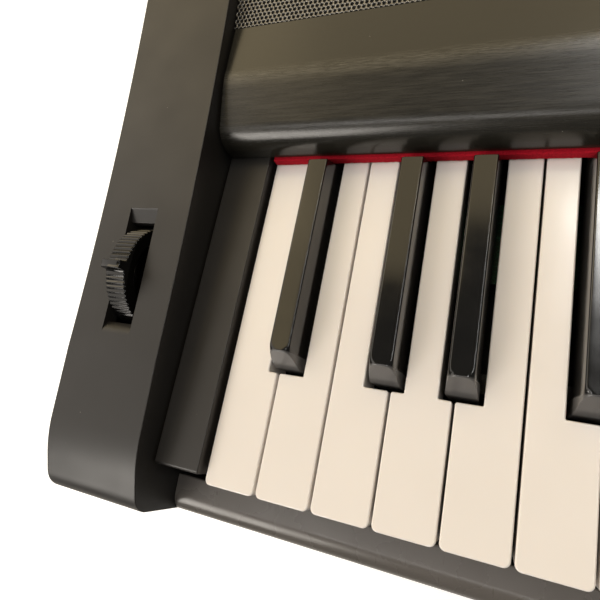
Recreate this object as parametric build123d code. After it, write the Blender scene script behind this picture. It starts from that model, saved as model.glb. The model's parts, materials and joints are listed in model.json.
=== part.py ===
"""Digital piano on a furniture stand: 88 keys, a bend wheel in the left cheek, a deck with two
speaker grilles and controls, a lift-off music rest, and a stand of two side boards on foot rails.

All lengths are millimetres. The instrument is drawn in the keyboard's own frame: x = 0 at the
left end of the lowest white key, y = 0 at the white keys' front edge, z = 0 on their top faces.
INSTRUMENT then moves it into the row's frame, whose origin is on the floor under the middle of
the outline: +X to the player's right, +Y towards the wall, +Z up. The stand is drawn there.
"""

from build123d import *
from functools import lru_cache
from math import atan2, cos, degrees, radians, sin, tan
import os

# ---- keyboard -------------------------------------------------------------------------------
WHITE_COUNT = 52
WHITE_PITCH = 23.5
KEY_GAP = 1.0
KEY_HEIGHT = 18.0
HEAD_LENGTH = 49.85  # white key, front edge to the notch for a black key
NOTCH_WIDTH = 15.6  # room between two white tails for the black key
KEY_CORNER_R = 2.3
NOTCH_CORNER_R = 1.4
KEY_EDGE_R = 0.6
KEY_WALL = 2.2
KEY_ROOF = 2.5
BLACK_WIDTH = 11.5
BLACK_TOP_WIDTH = 9.0
BLACK_HEIGHT = 12.0
BLACK_FRONT_GAP = 2.2  # notch front to the black key
BLACK_CAP_LENGTH = 95.0
BLACK_FRONT_LEAN = 5.3
BLACK_REAR_LEAN = 3.5
BLACK_EDGE_R = 1.2
# black key's place beside the joint of its white keys, in shares of a white key's pitch
SHARP_SHIFT = {"C": -0.1, "D": 0.1, "F": -0.143, "G": 0.0, "A": 0.143}
KEY_LETTERS = "ABCDEFG"
KEY_DIP = 10.0  # travel of the front edge
RUNNING_GAP = 0.05  # radial, a shaft in its bore

# ---- key mechanism --------------------------------------------------------------------------
PIVOT_Y = 200.0
PIVOT_Z = -10.0
PIVOT_R = 2.0
HUB_LENGTH = 24.0  # solid rear end of every key, around the pivot rod
TAIL_LENGTH = 14.0  # pivot to the rear end
PLUNGER_Y = 125.0
PLUNGER_SIZE = 7.0
GUIDE_WIDTH = 4.0
GUIDE_DEPTH = 6.0
GUIDE_TOP_Z = -13.0
WHITE_GUIDE_Y = 26.0
BLACK_GUIDE_Y = 70.0
CHASSIS_FRONT_Y = 4.0
CHASSIS_TOP_Z = -43.0
CHASSIS_WALL = 3.0
CHASSIS_WEBS_Y = (12.0, 62.0, 125.0, 200.0)
STOP_FELT_WIDTH = 8.0
STOP_FELT_Y = 12.0
BLACK_FELT_Y = 61.0
STOP_FELT_THICKNESS = 5.0
STOP_GAP = 0.3  # left between a fully pressed key and its stop felt
REST_FELT_Y = 206.0
REST_FELT_WIDTH = 5.0
REST_FELT_THICKNESS = 4.0
SPRING_R = 2.4
SPRING_WIRE = 0.6
BOARD_THICKNESS = 1.6
CONTACT_BOARD_WIDTH = 38.0
DOME_R = 3.4
DOME_HEIGHT = 8.5
ROD_WEB = 1.2  # thin webs of the chassis that hold the pivot rod between the tails
ROD_WEB_REACH = 3.2

# ---- case -----------------------------------------------------------------------------------
CHEEK_WIDTH = 51.0
CHEEK_SETBACK = 23.5  # lowest key's end to the cheek's inner wall
BODY_DEPTH = 445.0
NOSE_REACH = 17.0  # how far the nose stands ahead of the keys
CASE_BOTTOM_Z = -100.0
SPLIT_Z = -62.0  # joint between the lower case and everything above it
CASE_WALL = 3.0
SKIN = 2.5  # wall of the panel, the rail and the key blocks
FRONT_UNDERCUT = 25.0
REAR_UNDERCUT = 10.0
CHEEK_BREAK_Y = 45.0  # where the nose's curve meets the sloping top
CHEEK_BREAK_Z = 20.0
CHEEK_SHOULDER_Y = 214.3
CHEEK_SHOULDER_Z = 36.3
CHEEK_SAG = 2.0
CHEEK_CREST_Z = 52.0
CHEEK_CREST_R = 300.0
CHEEK_REAR_R = 14.0
CHEEK_NOSE_Z = 7.8  # corners that the nose's curves round off
CHEEK_NOSE_R = 11.0
CHEEK_BROW_Y = 5.5
CHEEK_BROW_Z = 16.6
CHEEK_BROW_R = 60.0
BLOCK_GAP = 1.2  # key block to the lowest key
BLOCK_SETBACK = 3.5
BLOCK_TOP_Z = 4.5
BLOCK_EDGE_R = 1.5
WALL_GAP = 0.5  # panel and key block to the cheek
RAIL_TOP_Z = -17.0
RAIL_GAP = 1.2
RAIL_NOSE_R = 6.5
RAIL_LIP = 9.0
LIP_Y = 149.5  # front face of the top panel
LIP_CORNER_Z = 18.5
LIP_R = 11.5
LIP_FLANGE = 13.0
BEND_Y = 177.5
BEND_Z = 26.6
BEND_R = 45.0
DECK_Y = 205.3  # the deck of grilles and controls starts here
DECK_Z = 27.9
DECK_SLOPE = 10.5
DECK_LENGTH = 96.3
SHELF_Z = 49.5  # height of the flat rear part of the panel at the back edge
SHELF_R = 12.0
SKIRT_Z = 30.0
SKIRT_LIP = 12.0
FELT_Y = 147.9
FELT_WIDTH = 11.0
FELT_LIFT = 0.3

# ---- grilles and speakers -------------------------------------------------------------------
GRILLE_WIDTH = 230.0
GRILLE_DEPTH = 72.0
GRILLE_SHEET = 1.0
GRILLE_SINK = 0.2
GRILLE_GAP = 0.4
GRILLE_LEDGE = 3.0
BAFFLE_DEPTH = 5.0
BAFFLE_WALL = 3.0
SPEAKER_R = 37.0
SPEAKER_CONE_R = 31.0
SPEAKER_DEPTH = 32.0
SPEAKER_FLANGE = 3.0
MAGNET_R = 22.0
MAGNET_HEIGHT = 14.0

# ---- bend wheel -----------------------------------------------------------------------------
WHEEL_X = -55.5
WHEEL_WIDTH = 10.5
WHEEL_Y = 84.3
WHEEL_Z = 5.3
WHEEL_R = 24.2
WHEEL_RIM = 7.2
WHEEL_DISH = 5.0
WHEEL_HUB_R = 7.0
WHEEL_TILT = 5.4  # the ridge leans this far to the front, square to the cheek's top
RIDGE_HEIGHT = 3.8
RIDGE_WIDTH = 2.4
RIDGE_FOOT = 6.0
GRIP_PITCH = 5.0
GRIP_GROOVE_R = 0.75
GRIP_GROOVE_SINK = 0.45
GRIP_FREE_FRONT = 13.0  # smooth stretch of rim ahead of the ridge, in degrees
GRIP_FREE_REAR = 11.0
SLOT_X = -56.5
SLOT_WIDTH = 15.7
SLOT_FRONT_Y = 52.4
SLOT_REAR_Y = 112.0
RAMP_LENGTH = 6.4
RAMP_DEPTH = 3.1
SLOT_FRAME = 2.6
WHEEL_CLEARANCE = 1.0
AXLE_R = 2.5
HOLDER_WALL = 3.0
HOLDER_EAR = 2.4
HOLDER_EAR_GAP = 2.6
HOLDER_DROP = 30.0  # wheel axis down to the holder's base
HOLDER_LENGTH = 50.0

# ---- controls -------------------------------------------------------------------------------
DISPLAY_WIDTH = 112.0
DISPLAY_DEPTH = 38.0
DISPLAY_THICKNESS = 2.0
BUTTON_WIDTH = 15.0
BUTTON_DEPTH = 7.0
BUTTON_HEIGHT = 6.0
BUTTON_PROUD = 1.5
BUTTON_GAP = 0.35
BUTTON_PITCH_X = 26.0
BUTTON_PITCH_Y = 22.0
BUTTON_COLUMNS = 4
BUTTON_ROWS = 2
BUTTON_TRAVEL = 1.0
BUTTON_BANK_X = 80.0  # middle of the deck to the first button of each bank
POWER_X = -285.0
POWER_R = 6.0
KNOB_X = -225.0
KNOB_R = 12.0
KNOB_HEIGHT = 14.0
DIAL_X = 225.0
DIAL_R = 21.0
DIAL_HEIGHT = 7.0
KNOB_SHAFT_R = 3.0
KNOB_LIFT = 0.8
CONTROL_BOARD_DROP = 10.0  # deck surface to the board under it
CONTROL_BOARD_WIDTH = 610.0
CONTROL_BOARD_DEPTH = 60.0
BOSS_R = 4.0

# ---- music rest -----------------------------------------------------------------------------
REST_Y = 338.0
REST_LEAN = 15.0
REST_WIDTH = 520.0
REST_HEIGHT = 178.0
REST_BOARD = 5.0
REST_LEDGE = 20.0
REST_CORNER_R = 18.0
REST_LIFT = 1.3  # board's foot above the panel
TONGUE_WIDTH = 60.0
TONGUE_LENGTH = 14.0
TONGUE_SPACING = 360.0
TONGUE_GAP = 0.25

# ---- sockets, boards and screws -------------------------------------------------------------
JACK_BORE_R = 3.25
JACK_COLLAR_R = 5.5
JACK_DEPTH = 26.0
JACK_WIDTH = 16.0
JACK_BORE_DEPTH = 22.0
JACK_Z = -20.0
JACKS_X = (330.0, 360.0, 390.0, 450.0)
CHIP_WIDTH = 24.0
CHIP_HEIGHT = 2.5
CAN_R = 6.0
CAN_HEIGHT = 14.0
SWITCH_WIDTH = 5.0
POT_WIDTH = 16.0
MAIN_BOARD_SIZE = (180.0, 110.0)
MAIN_BOARD_X = 330.0
MAIN_BOARD_Y = 265.0
STANDOFF_HEIGHT = 8.0
STANDOFF_R = 3.5
SCREW_R = 2.0
SCREW_HEAD_R = 4.0
SCREW_HEAD = 2.6
CASE_SCREW_LENGTH = 55.0
CASE_SCREW_FRONT_Y = 30.0
CASE_SCREW_REAR_INSET = 28.0
CASE_SCREWS_PER_END = 3
TOWER_R = 6.0
COVER_SCREW_LENGTH = 10.0
COVER_SCREWS = 6

# ---- stand ----------------------------------------------------------------------------------
KEY_TOP_HEIGHT = 710.0  # white key tops above the floor
SIDE_BOARD = 20.0
SIDE_INSET = 12.0
SIDE_DEPTH = 350.0
SIDE_CENTER_Y = 10.0
SIDE_EDGE_R = 2.0
FOOT_WIDTH = 44.0
FOOT_LENGTH = 430.0
FOOT_HEIGHT = 40.0
FOOT_EDGE_R = 6.0
GLIDE_R = 14.0
GLIDE_HEIGHT = 5.0
GLIDE_INSET = 30.0
BACK_BOARD = 15.0
BACK_HEIGHT = 260.0
BACK_TOP_GAP = 55.0
BACK_Y = 150.0
BRACKET = 2.5
BRACKET_REACH = 45.0
BRACKET_DROP = 60.0
BRACKET_DEPTH = 50.0
BRACKETS_Y = (-110.0, 110.0)
CLAMP_R = 3.0
CLAMP_LENGTH = 20.0
CLAMP_HEAD_R = 14.0
CLAMP_HEAD = 14.0
CLAMP_BOSS_R = 7.0
BOARD_SCREW_R = 3.0
BOARD_SCREW_HEAD_R = 5.5
BOARD_SCREW_HEAD = 3.0
BOARD_SCREW_LENGTH = 55.0
BACK_SCREWS = 3
FOOT_SCREWS = 3
BRACKET_SCREW_R = 2.0
BRACKET_SCREW_LENGTH = 14.0

# ---- worked out from the sizes above --------------------------------------------------------
KEYBOARD_WIDTH = WHITE_COUNT * WHITE_PITCH
BODY_WIDTH = KEYBOARD_WIDTH + 2 * (CHEEK_SETBACK + CHEEK_WIDTH)
MIDDLE_X = KEYBOARD_WIDTH / 2
LEFT_X = -CHEEK_SETBACK - CHEEK_WIDTH
WALL_X = -CHEEK_SETBACK
RIGHT_WALL_X = KEYBOARD_WIDTH + CHEEK_SETBACK
RIGHT_X = RIGHT_WALL_X + CHEEK_WIDTH
PANEL_X = WALL_X + WALL_GAP
PANEL_WIDTH = KEYBOARD_WIDTH - 2 * PANEL_X
NOSE_Y = -NOSE_REACH
REAR_Y = BODY_DEPTH - NOSE_REACH
KEY_REAR_Y = PIVOT_Y + TAIL_LENGTH
WHITE_WIDTH = WHITE_PITCH - KEY_GAP
BLACK_FRONT_Y = HEAD_LENGTH + BLACK_FRONT_GAP
CASE_FLOOR_Z = CASE_BOTTOM_Z + CASE_WALL
CHASSIS_REAR_Y = KEY_REAR_Y + CHASSIS_WALL + 2 * RUNNING_GAP
CHEEK_END_SLOPE = (CHEEK_SHOULDER_Z - CHEEK_BREAK_Z + 4 * CHEEK_SAG) / (
    CHEEK_SHOULDER_Y - CHEEK_BREAK_Y
)
CHEEK_CREST_Y = CHEEK_SHOULDER_Y + (CHEEK_CREST_Z - CHEEK_SHOULDER_Z) / CHEEK_END_SLOPE
DECK_END_Y = DECK_Y + DECK_LENGTH * cos(radians(DECK_SLOPE))
DECK_END_Z = DECK_Z + DECK_LENGTH * sin(radians(DECK_SLOPE))
RIDGE_R = WHEEL_R + RIDGE_HEIGHT
STAND_TOP = KEY_TOP_HEIGHT + CASE_BOTTOM_Z
FOOT_TOP = GLIDE_HEIGHT + FOOT_HEIGHT
SIDE_OUTER_X = BODY_WIDTH / 2 - SIDE_INSET
SIDE_INNER_X = SIDE_OUTER_X - SIDE_BOARD
SIDE_MIDDLE_X = SIDE_OUTER_X - SIDE_BOARD / 2
BACK_WIDTH = 2 * SIDE_INNER_X
BACK_TOP = STAND_TOP - BACK_TOP_GAP
CLAMP_X = SIDE_INNER_X - BRACKET - CLAMP_HEAD_R - 4.0

INSTRUMENT = Location((-MIDDLE_X, NOSE_REACH - BODY_DEPTH / 2, KEY_TOP_HEIGHT))
DECK = Plane(
    origin=(MIDDLE_X, (DECK_Y + DECK_END_Y) / 2, (DECK_Z + DECK_END_Z) / 2),
    x_dir=(1, 0, 0),
    z_dir=(0, -sin(radians(DECK_SLOPE)), cos(radians(DECK_SLOPE))),
)


# ---- small helpers --------------------------------------------------------------------------
def block(x0, x1, y0, y1, z0, z1):
    """A box between two corners."""
    size = (x1 - x0, y1 - y0, z1 - z0)
    return Pos((x0 + x1) / 2, (y0 + y1) / 2, (z0 + z1) / 2) * Box(*size)


def prism(section, x0, x1):
    """A solid whose Y-Z section runs from x0 to x1."""
    face = Plane.YZ.offset(x0) * section
    return extrude(face, amount=x1 - x0, dir=(1, 0, 0))


def sheet(outline, thickness):
    """The Y-Z section of a wall that lies inside an open outline."""
    return make_face(offset(outline, thickness, side=Side.RIGHT))


def upright(radius, x, y, z0, z1):
    """A round bar along Z."""
    return Pos(x, y, (z0 + z1) / 2) * Cylinder(radius, z1 - z0)


def crossbar(radius, y, z, x0, x1):
    """A round bar along X."""
    return Pos((x0 + x1) / 2, y, z) * Rot(0, 90, 0) * Cylinder(radius, x1 - x0)


def lengthbar(radius, x, z, y0, y1):
    """A round bar along Y."""
    return Pos(x, (y0 + y1) / 2, z) * Rot(90, 0, 0) * Cylinder(radius, y1 - y0)


def on_deck(x, y, z, shape):
    """Puts a shape on the sloping deck: x, y along it from its middle, z above it."""
    return DECK.location * Pos(x, y, z) * shape


def group(shapes):
    """Separate solids that share one node."""
    return Compound(children=[solid for shape in shapes for solid in shape.solids()])


def mirrored(shape):
    """The same piece at the other end of the keyboard."""
    return mirror(shape, about=Plane.YZ.offset(MIDDLE_X))


def evenly(first, last, count):
    """Places from first to last, both kept."""
    return [first + (last - first) * i / (count - 1) for i in range(count)]


# ---- keys -----------------------------------------------------------------------------------
def letter_of(index):
    return KEY_LETTERS[index % len(KEY_LETTERS)]


def octave_of(index):
    return (index + 5) // len(KEY_LETTERS)


def sharp_x(index):
    """Middle of the black key right of a white key, or None where there is none."""
    if not 0 <= index < WHITE_COUNT - 1 or letter_of(index) not in SHARP_SHIFT:
        return None
    return (index + 1 + SHARP_SHIFT[letter_of(index)]) * WHITE_PITCH


def notches(index):
    """How much of a white key is cut away at its left and right for black keys."""
    left_edge = index * WHITE_PITCH + KEY_GAP / 2
    right_edge = left_edge + WHITE_WIDTH
    left = sharp_x(index - 1)
    right = sharp_x(index)
    left_cut = 0.0 if left is None else left + NOTCH_WIDTH / 2 - left_edge
    right_cut = 0.0 if right is None else right_edge - right + NOTCH_WIDTH / 2
    return round(left_cut, 3), round(right_cut, 3)


def key_bore(x0, x1):
    return crossbar(PIVOT_R + RUNNING_GAP, PIVOT_Y, PIVOT_Z, x0, x1)


def key_hollow(x0, x1, y0):
    """Room under a key, open below, ahead of the hub."""
    return block(x0, x1, y0, KEY_REAR_Y - HUB_LENGTH, -KEY_HEIGHT, -KEY_ROOF)


def plunger(x):
    half = PLUNGER_SIZE / 2
    return block(x - half, x + half, PLUNGER_Y - half, PLUNGER_Y + half, -KEY_HEIGHT, -KEY_ROOF)


@lru_cache
def white_key(left_cut, right_cut):
    """A white key with its left edge at x = 0."""
    tail_left = left_cut
    tail_right = WHITE_WIDTH - right_cut
    plan = Pos(WHITE_WIDTH / 2, HEAD_LENGTH / 2) * Rectangle(WHITE_WIDTH, HEAD_LENGTH)
    plan = fillet(plan.vertices().group_by(Axis.Y)[0], KEY_CORNER_R)
    tail_y0 = HEAD_LENGTH / 2
    plan += Pos((tail_left + tail_right) / 2, (tail_y0 + KEY_REAR_Y) / 2) * Rectangle(
        tail_right - tail_left, KEY_REAR_Y - tail_y0
    )
    inner_corners = [
        corner
        for corner in plan.vertices()
        if abs(corner.Y - HEAD_LENGTH) < KEY_EDGE_R
        and KEY_EDGE_R < corner.X < WHITE_WIDTH - KEY_EDGE_R
    ]
    if inner_corners:
        plan = fillet(inner_corners, NOTCH_CORNER_R)
    body = extrude(plan, amount=-KEY_HEIGHT)
    body = fillet(body.faces().sort_by(Axis.Z)[-1].edges(), KEY_EDGE_R)
    body -= key_hollow(KEY_WALL, WHITE_WIDTH - KEY_WALL, KEY_WALL) & block(
        0, WHITE_WIDTH, 0, HEAD_LENGTH - KEY_WALL, -KEY_HEIGHT, 0
    )
    body -= key_hollow(tail_left + KEY_WALL, tail_right - KEY_WALL, HEAD_LENGTH - 2 * KEY_WALL)
    body += plunger((tail_left + tail_right) / 2)
    return body - key_bore(0, WHITE_WIDTH)


@lru_cache
def black_key():
    """A black key with its middle at x = 0."""
    cap_rear = BLACK_FRONT_Y + BLACK_CAP_LENGTH
    foot = Pos(0, (BLACK_FRONT_Y + cap_rear) / 2) * Rectangle(BLACK_WIDTH, BLACK_CAP_LENGTH)
    top_length = BLACK_CAP_LENGTH - BLACK_FRONT_LEAN - BLACK_REAR_LEAN
    top_y = BLACK_FRONT_Y + BLACK_FRONT_LEAN + top_length / 2
    top = Pos(0, top_y, BLACK_HEIGHT) * Rectangle(BLACK_TOP_WIDTH, top_length)
    cap = loft([foot.face(), top.face()])
    cap = fillet(cap.edges().group_by(Axis.Z)[-1], BLACK_EDGE_R)
    half = BLACK_WIDTH / 2
    body = cap + block(-half, half, BLACK_FRONT_Y, KEY_REAR_Y, -KEY_HEIGHT, 0)
    body -= key_hollow(-half + KEY_WALL, half - KEY_WALL, BLACK_FRONT_Y + KEY_WALL)
    body += plunger(0)
    return body - key_bore(-half, half)


def placed_white(index):
    return Pos(index * WHITE_PITCH + KEY_GAP / 2, 0, 0) * white_key(*notches(index))


def placed_black(index):
    return Pos(sharp_x(index), 0, 0) * black_key()


def white_middles():
    """Middle of every white key's tail."""
    middles = []
    for index in range(WHITE_COUNT):
        left_cut, right_cut = notches(index)
        left = index * WHITE_PITCH + KEY_GAP / 2 + left_cut
        right = (index + 1) * WHITE_PITCH - KEY_GAP / 2 - right_cut
        middles.append((left + right) / 2)
    return middles


def black_middles():
    return [sharp_x(index) for index in range(WHITE_COUNT) if sharp_x(index) is not None]


# The keys nearest the bend wheel are nodes of their own. The rest share nodes by colour, up to
# the end of the first octave and then two octaves at a time.
SINGLE_WHITES = range(0, 6)
SINGLE_BLACKS = (0, 2, 3)
GROUP_LAST_OCTAVE = {"octave_1": 1, "octaves_2_3": 3, "octaves_4_5": 5, "octaves_6_7": 8}


def key_group_of(index):
    for name, last in GROUP_LAST_OCTAVE.items():
        if octave_of(index) <= last:
            return name
    return None


def key_nodes():
    nodes = {}
    grouped = {}
    for index in range(WHITE_COUNT):
        letter = letter_of(index).lower()
        octave = octave_of(index)
        if index in SINGLE_WHITES:
            nodes[f"key_{letter}{octave}"] = placed_white(index)
        else:
            grouped.setdefault(f"white_keys_{key_group_of(index)}", []).append(
                placed_white(index)
            )
        if sharp_x(index) is None:
            continue
        if index in SINGLE_BLACKS:
            nodes[f"key_{letter}_sharp{octave}"] = placed_black(index)
        else:
            grouped.setdefault(f"black_keys_{key_group_of(index)}", []).append(
                placed_black(index)
            )
    nodes.update({name: group(shapes) for name, shapes in grouped.items()})
    return nodes


# ---- key mechanism --------------------------------------------------------------------------
def pressed_underside(y):
    """Height of a fully pressed key's underside."""
    dip = KEY_DIP / PIVOT_Y
    return PIVOT_Z - (PIVOT_Y - y) * dip - (KEY_HEIGHT + PIVOT_Z) * cos(dip)


STOP_TOP_Z = pressed_underside(STOP_FELT_Y - STOP_FELT_WIDTH / 2) - STOP_GAP
BLACK_STOP_TOP_Z = pressed_underside(BLACK_FELT_Y - STOP_FELT_WIDTH / 2) - STOP_GAP
CONTACT_TOP_Z = pressed_underside(PLUNGER_Y - PLUNGER_SIZE / 2) - STOP_GAP
CONTACT_BOARD_Z = CONTACT_TOP_Z - DOME_HEIGHT - BOARD_THICKNESS


def chassis_ledge(y0, y1, top):
    return block(
        WALL_X + WALL_GAP, RIGHT_WALL_X - WALL_GAP, y0, y1, CHASSIS_TOP_Z - CHASSIS_WALL, top
    )


def make_key_chassis():
    """The moulded bed that carries guides, felts, board and pivot rod."""
    bed = chassis_ledge(CHASSIS_FRONT_Y, CHASSIS_REAR_Y, CHASSIS_TOP_Z)
    front_top = STOP_TOP_Z - STOP_FELT_THICKNESS
    black_top = BLACK_STOP_TOP_Z - STOP_FELT_THICKNESS
    margin = CHASSIS_WALL
    bed += chassis_ledge(
        CHASSIS_FRONT_Y + margin, WHITE_GUIDE_Y + GUIDE_DEPTH / 2 + margin, front_top
    )
    bed += chassis_ledge(
        BLACK_FELT_Y - STOP_FELT_WIDTH / 2, BLACK_GUIDE_Y + GUIDE_DEPTH / 2 + margin, black_top
    )
    bed += chassis_ledge(
        PLUNGER_Y - CONTACT_BOARD_WIDTH / 2,
        PLUNGER_Y + CONTACT_BOARD_WIDTH / 2,
        CONTACT_BOARD_Z,
    )
    rest_top = -KEY_HEIGHT - REST_FELT_THICKNESS
    half_felt = REST_FELT_WIDTH / 2
    bed += chassis_ledge(REST_FELT_Y - half_felt, REST_FELT_Y + half_felt, rest_top)
    bed += chassis_ledge(CHASSIS_REAR_Y - CHASSIS_WALL, CHASSIS_REAR_Y, -KEY_HEIGHT)
    for y in CHASSIS_WEBS_Y:
        bed += block(
            WALL_X + WALL_GAP,
            RIGHT_WALL_X - WALL_GAP,
            y - CHASSIS_WALL / 2,
            y + CHASSIS_WALL / 2,
            CASE_FLOOR_Z,
            CHASSIS_TOP_Z,
        )
    posts = [(x, WHITE_GUIDE_Y, front_top) for x in white_middles()]
    posts += [(x, BLACK_GUIDE_Y, black_top) for x in black_middles()]
    bed += [
        block(
            x - GUIDE_WIDTH / 2,
            x + GUIDE_WIDTH / 2,
            y - GUIDE_DEPTH / 2,
            y + GUIDE_DEPTH / 2,
            base - CHASSIS_WALL,
            GUIDE_TOP_Z,
        )
        for x, y, base in posts
    ]
    bed += [
        block(
            x - ROD_WEB / 2,
            x + ROD_WEB / 2,
            PIVOT_Y - ROD_WEB_REACH,
            PIVOT_Y + ROD_WEB_REACH,
            CHASSIS_TOP_Z - CHASSIS_WALL,
            PIVOT_Z + 2 * PIVOT_R,
        )
        for x in rod_webs_x()
    ]
    return bed - pivot_bar(PIVOT_R + RUNNING_GAP)


def rod_webs_x():
    """Webs stand in the gaps left of each C sharp and F sharp, and outside the end keys."""
    side_gap = (NOTCH_WIDTH - BLACK_WIDTH) / 2
    webs = [
        sharp_x(index) - BLACK_WIDTH / 2 - side_gap / 2
        for index in range(WHITE_COUNT)
        if letter_of(index) in "CF" and sharp_x(index) is not None
    ]
    return [-ROD_WEB, *webs, KEYBOARD_WIDTH + ROD_WEB]


def pivot_bar(radius):
    return crossbar(radius, PIVOT_Y, PIVOT_Z, -2 * ROD_WEB, KEYBOARD_WIDTH + 2 * ROD_WEB)


def felt_bar(y, width, z0, z1):
    return block(0, KEYBOARD_WIDTH, y - width / 2, y + width / 2, z0, z1)


def make_key_felts():
    """Two strips that stop pressed keys and one that the tails lie on at rest."""
    return group(
        [
            felt_bar(
                STOP_FELT_Y, STOP_FELT_WIDTH, STOP_TOP_Z - STOP_FELT_THICKNESS, STOP_TOP_Z
            ),
            felt_bar(
                BLACK_FELT_Y,
                STOP_FELT_WIDTH,
                BLACK_STOP_TOP_Z - STOP_FELT_THICKNESS,
                BLACK_STOP_TOP_Z,
            ),
            felt_bar(
                REST_FELT_Y, REST_FELT_WIDTH, -KEY_HEIGHT - REST_FELT_THICKNESS, -KEY_HEIGHT
            ),
        ]
    )


def make_key_springs():
    """One coil spring under each key's tail, drawn as the sleeve that its coils fill."""
    y = (REST_FELT_Y + REST_FELT_WIDTH / 2 + KEY_REAR_Y) / 2 + SPRING_WIRE / 2
    height = -KEY_HEIGHT - CHASSIS_TOP_Z
    sleeve = Cylinder(SPRING_R, height) - Cylinder(SPRING_R - SPRING_WIRE, height)
    middle_z = (CHASSIS_TOP_Z - KEY_HEIGHT) / 2
    return group([Pos(x, y, middle_z) * sleeve for x in white_middles() + black_middles()])


def make_contact_board():
    half = CONTACT_BOARD_WIDTH / 2
    return block(
        0,
        KEYBOARD_WIDTH,
        PLUNGER_Y - half,
        PLUNGER_Y + half,
        CONTACT_BOARD_Z,
        CONTACT_BOARD_Z + BOARD_THICKNESS,
    )


def make_contact_domes():
    """Rubber contact domes, one under each key's plunger."""
    z0 = CONTACT_BOARD_Z + BOARD_THICKNESS
    dome = Pos(0, PLUNGER_Y, z0 + DOME_HEIGHT / 2) * Cone(DOME_R, DOME_R * 0.7, DOME_HEIGHT)
    return group([Pos(x, 0, 0) * dome for x in white_middles() + black_middles()])


# ---- cheeks, key blocks and front rail ------------------------------------------------------
def case_screws_y():
    return evenly(CASE_SCREW_FRONT_Y, REAR_Y - CASE_SCREW_REAR_INSET, CASE_SCREWS_PER_END)


def cheek_top(y):
    """Height of the cheek's hollow-ground top between its break and its shoulder."""
    t = (y - CHEEK_BREAK_Y) / (CHEEK_SHOULDER_Y - CHEEK_BREAK_Y)
    return CHEEK_BREAK_Z + (CHEEK_SHOULDER_Z - CHEEK_BREAK_Z) * t - 4 * CHEEK_SAG * t * (1 - t)


def cheek_section():
    """Side view of a cheek, above the split."""
    middle_y = (CHEEK_BREAK_Y + CHEEK_SHOULDER_Y) / 2
    top = ThreePointArc(
        (CHEEK_BREAK_Y, CHEEK_BREAK_Z),
        (middle_y, cheek_top(middle_y)),
        (CHEEK_SHOULDER_Y, CHEEK_SHOULDER_Z),
    )
    rest = FilletPolyline(
        (CHEEK_SHOULDER_Y, CHEEK_SHOULDER_Z),
        (CHEEK_CREST_Y, CHEEK_CREST_Z),
        (REAR_Y, CHEEK_CREST_Z),
        (REAR_Y, SPLIT_Z),
        (NOSE_Y, SPLIT_Z),
        (NOSE_Y, CHEEK_NOSE_Z),
        (CHEEK_BROW_Y, CHEEK_BROW_Z),
        (CHEEK_BREAK_Y, CHEEK_BREAK_Z),
        radius=[CHEEK_CREST_R, CHEEK_REAR_R, 0, 0, CHEEK_NOSE_R, CHEEK_BROW_R],
    )
    return make_face([*top.edges(), *rest.edges()])


def make_cheek():
    """The plain cheek at the left end: a shell that is open below."""
    section = cheek_section()
    room = offset(section, -CASE_WALL)
    cheek = prism(section, LEFT_X, WALL_X)
    cheek -= prism(room, LEFT_X + CASE_WALL, WALL_X - CASE_WALL)
    cheek -= block(
        LEFT_X + CASE_WALL,
        WALL_X - CASE_WALL,
        NOSE_Y + CASE_WALL,
        REAR_Y - CASE_WALL,
        SPLIT_Z,
        SPLIT_Z + 2 * CASE_WALL,
    )
    x = (LEFT_X + WALL_X) / 2
    for y in case_screws_y():
        boss_top = SPLIT_Z + CASE_SCREW_LENGTH / 2
        cheek += upright(TOWER_R, x, y, SPLIT_Z, boss_top)
        cheek += block(
            LEFT_X + CASE_WALL,
            WALL_X - CASE_WALL,
            y - SKIN / 2,
            y + SKIN / 2,
            SPLIT_Z,
            boss_top,
        )
        cheek -= upright(SCREW_R + RUNNING_GAP, x, y, SPLIT_Z, boss_top)
    return cheek


def slot_cutter():
    """The wheel's opening, with a ramp that dips from the cheek's top at each end."""
    front_z = cheek_top(SLOT_FRONT_Y)
    rear_z = cheek_top(SLOT_REAR_Y)
    ramp_front = (SLOT_FRONT_Y + RAMP_LENGTH, cheek_top(SLOT_FRONT_Y + RAMP_LENGTH) - RAMP_DEPTH)
    ramp_rear = (SLOT_REAR_Y - RAMP_LENGTH, cheek_top(SLOT_REAR_Y - RAMP_LENGTH) - RAMP_DEPTH)
    slope = (rear_z - front_z) / (SLOT_REAR_Y - SLOT_FRONT_Y)
    front_arc = TangentArc((SLOT_FRONT_Y, front_z), ramp_front, tangent=(1, slope))
    rear_arc = TangentArc((SLOT_REAR_Y, rear_z), ramp_rear, tangent=(-1, -slope))
    below = WHEEL_Z
    above = RIDGE_R + CHEEK_SHOULDER_Z
    rest = [
        Polyline(ramp_front, (ramp_front[0], below), (ramp_rear[0], below), ramp_rear),
        Polyline((SLOT_REAR_Y, rear_z), (SLOT_REAR_Y, above), (SLOT_FRONT_Y, above)),
        Line((SLOT_FRONT_Y, above), (SLOT_FRONT_Y, front_z)),
    ]
    edges = [*front_arc.edges(), *rear_arc.edges()]
    for line in rest:
        edges += line.edges()
    return prism(make_face(edges), SLOT_X, SLOT_X + SLOT_WIDTH)


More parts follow.
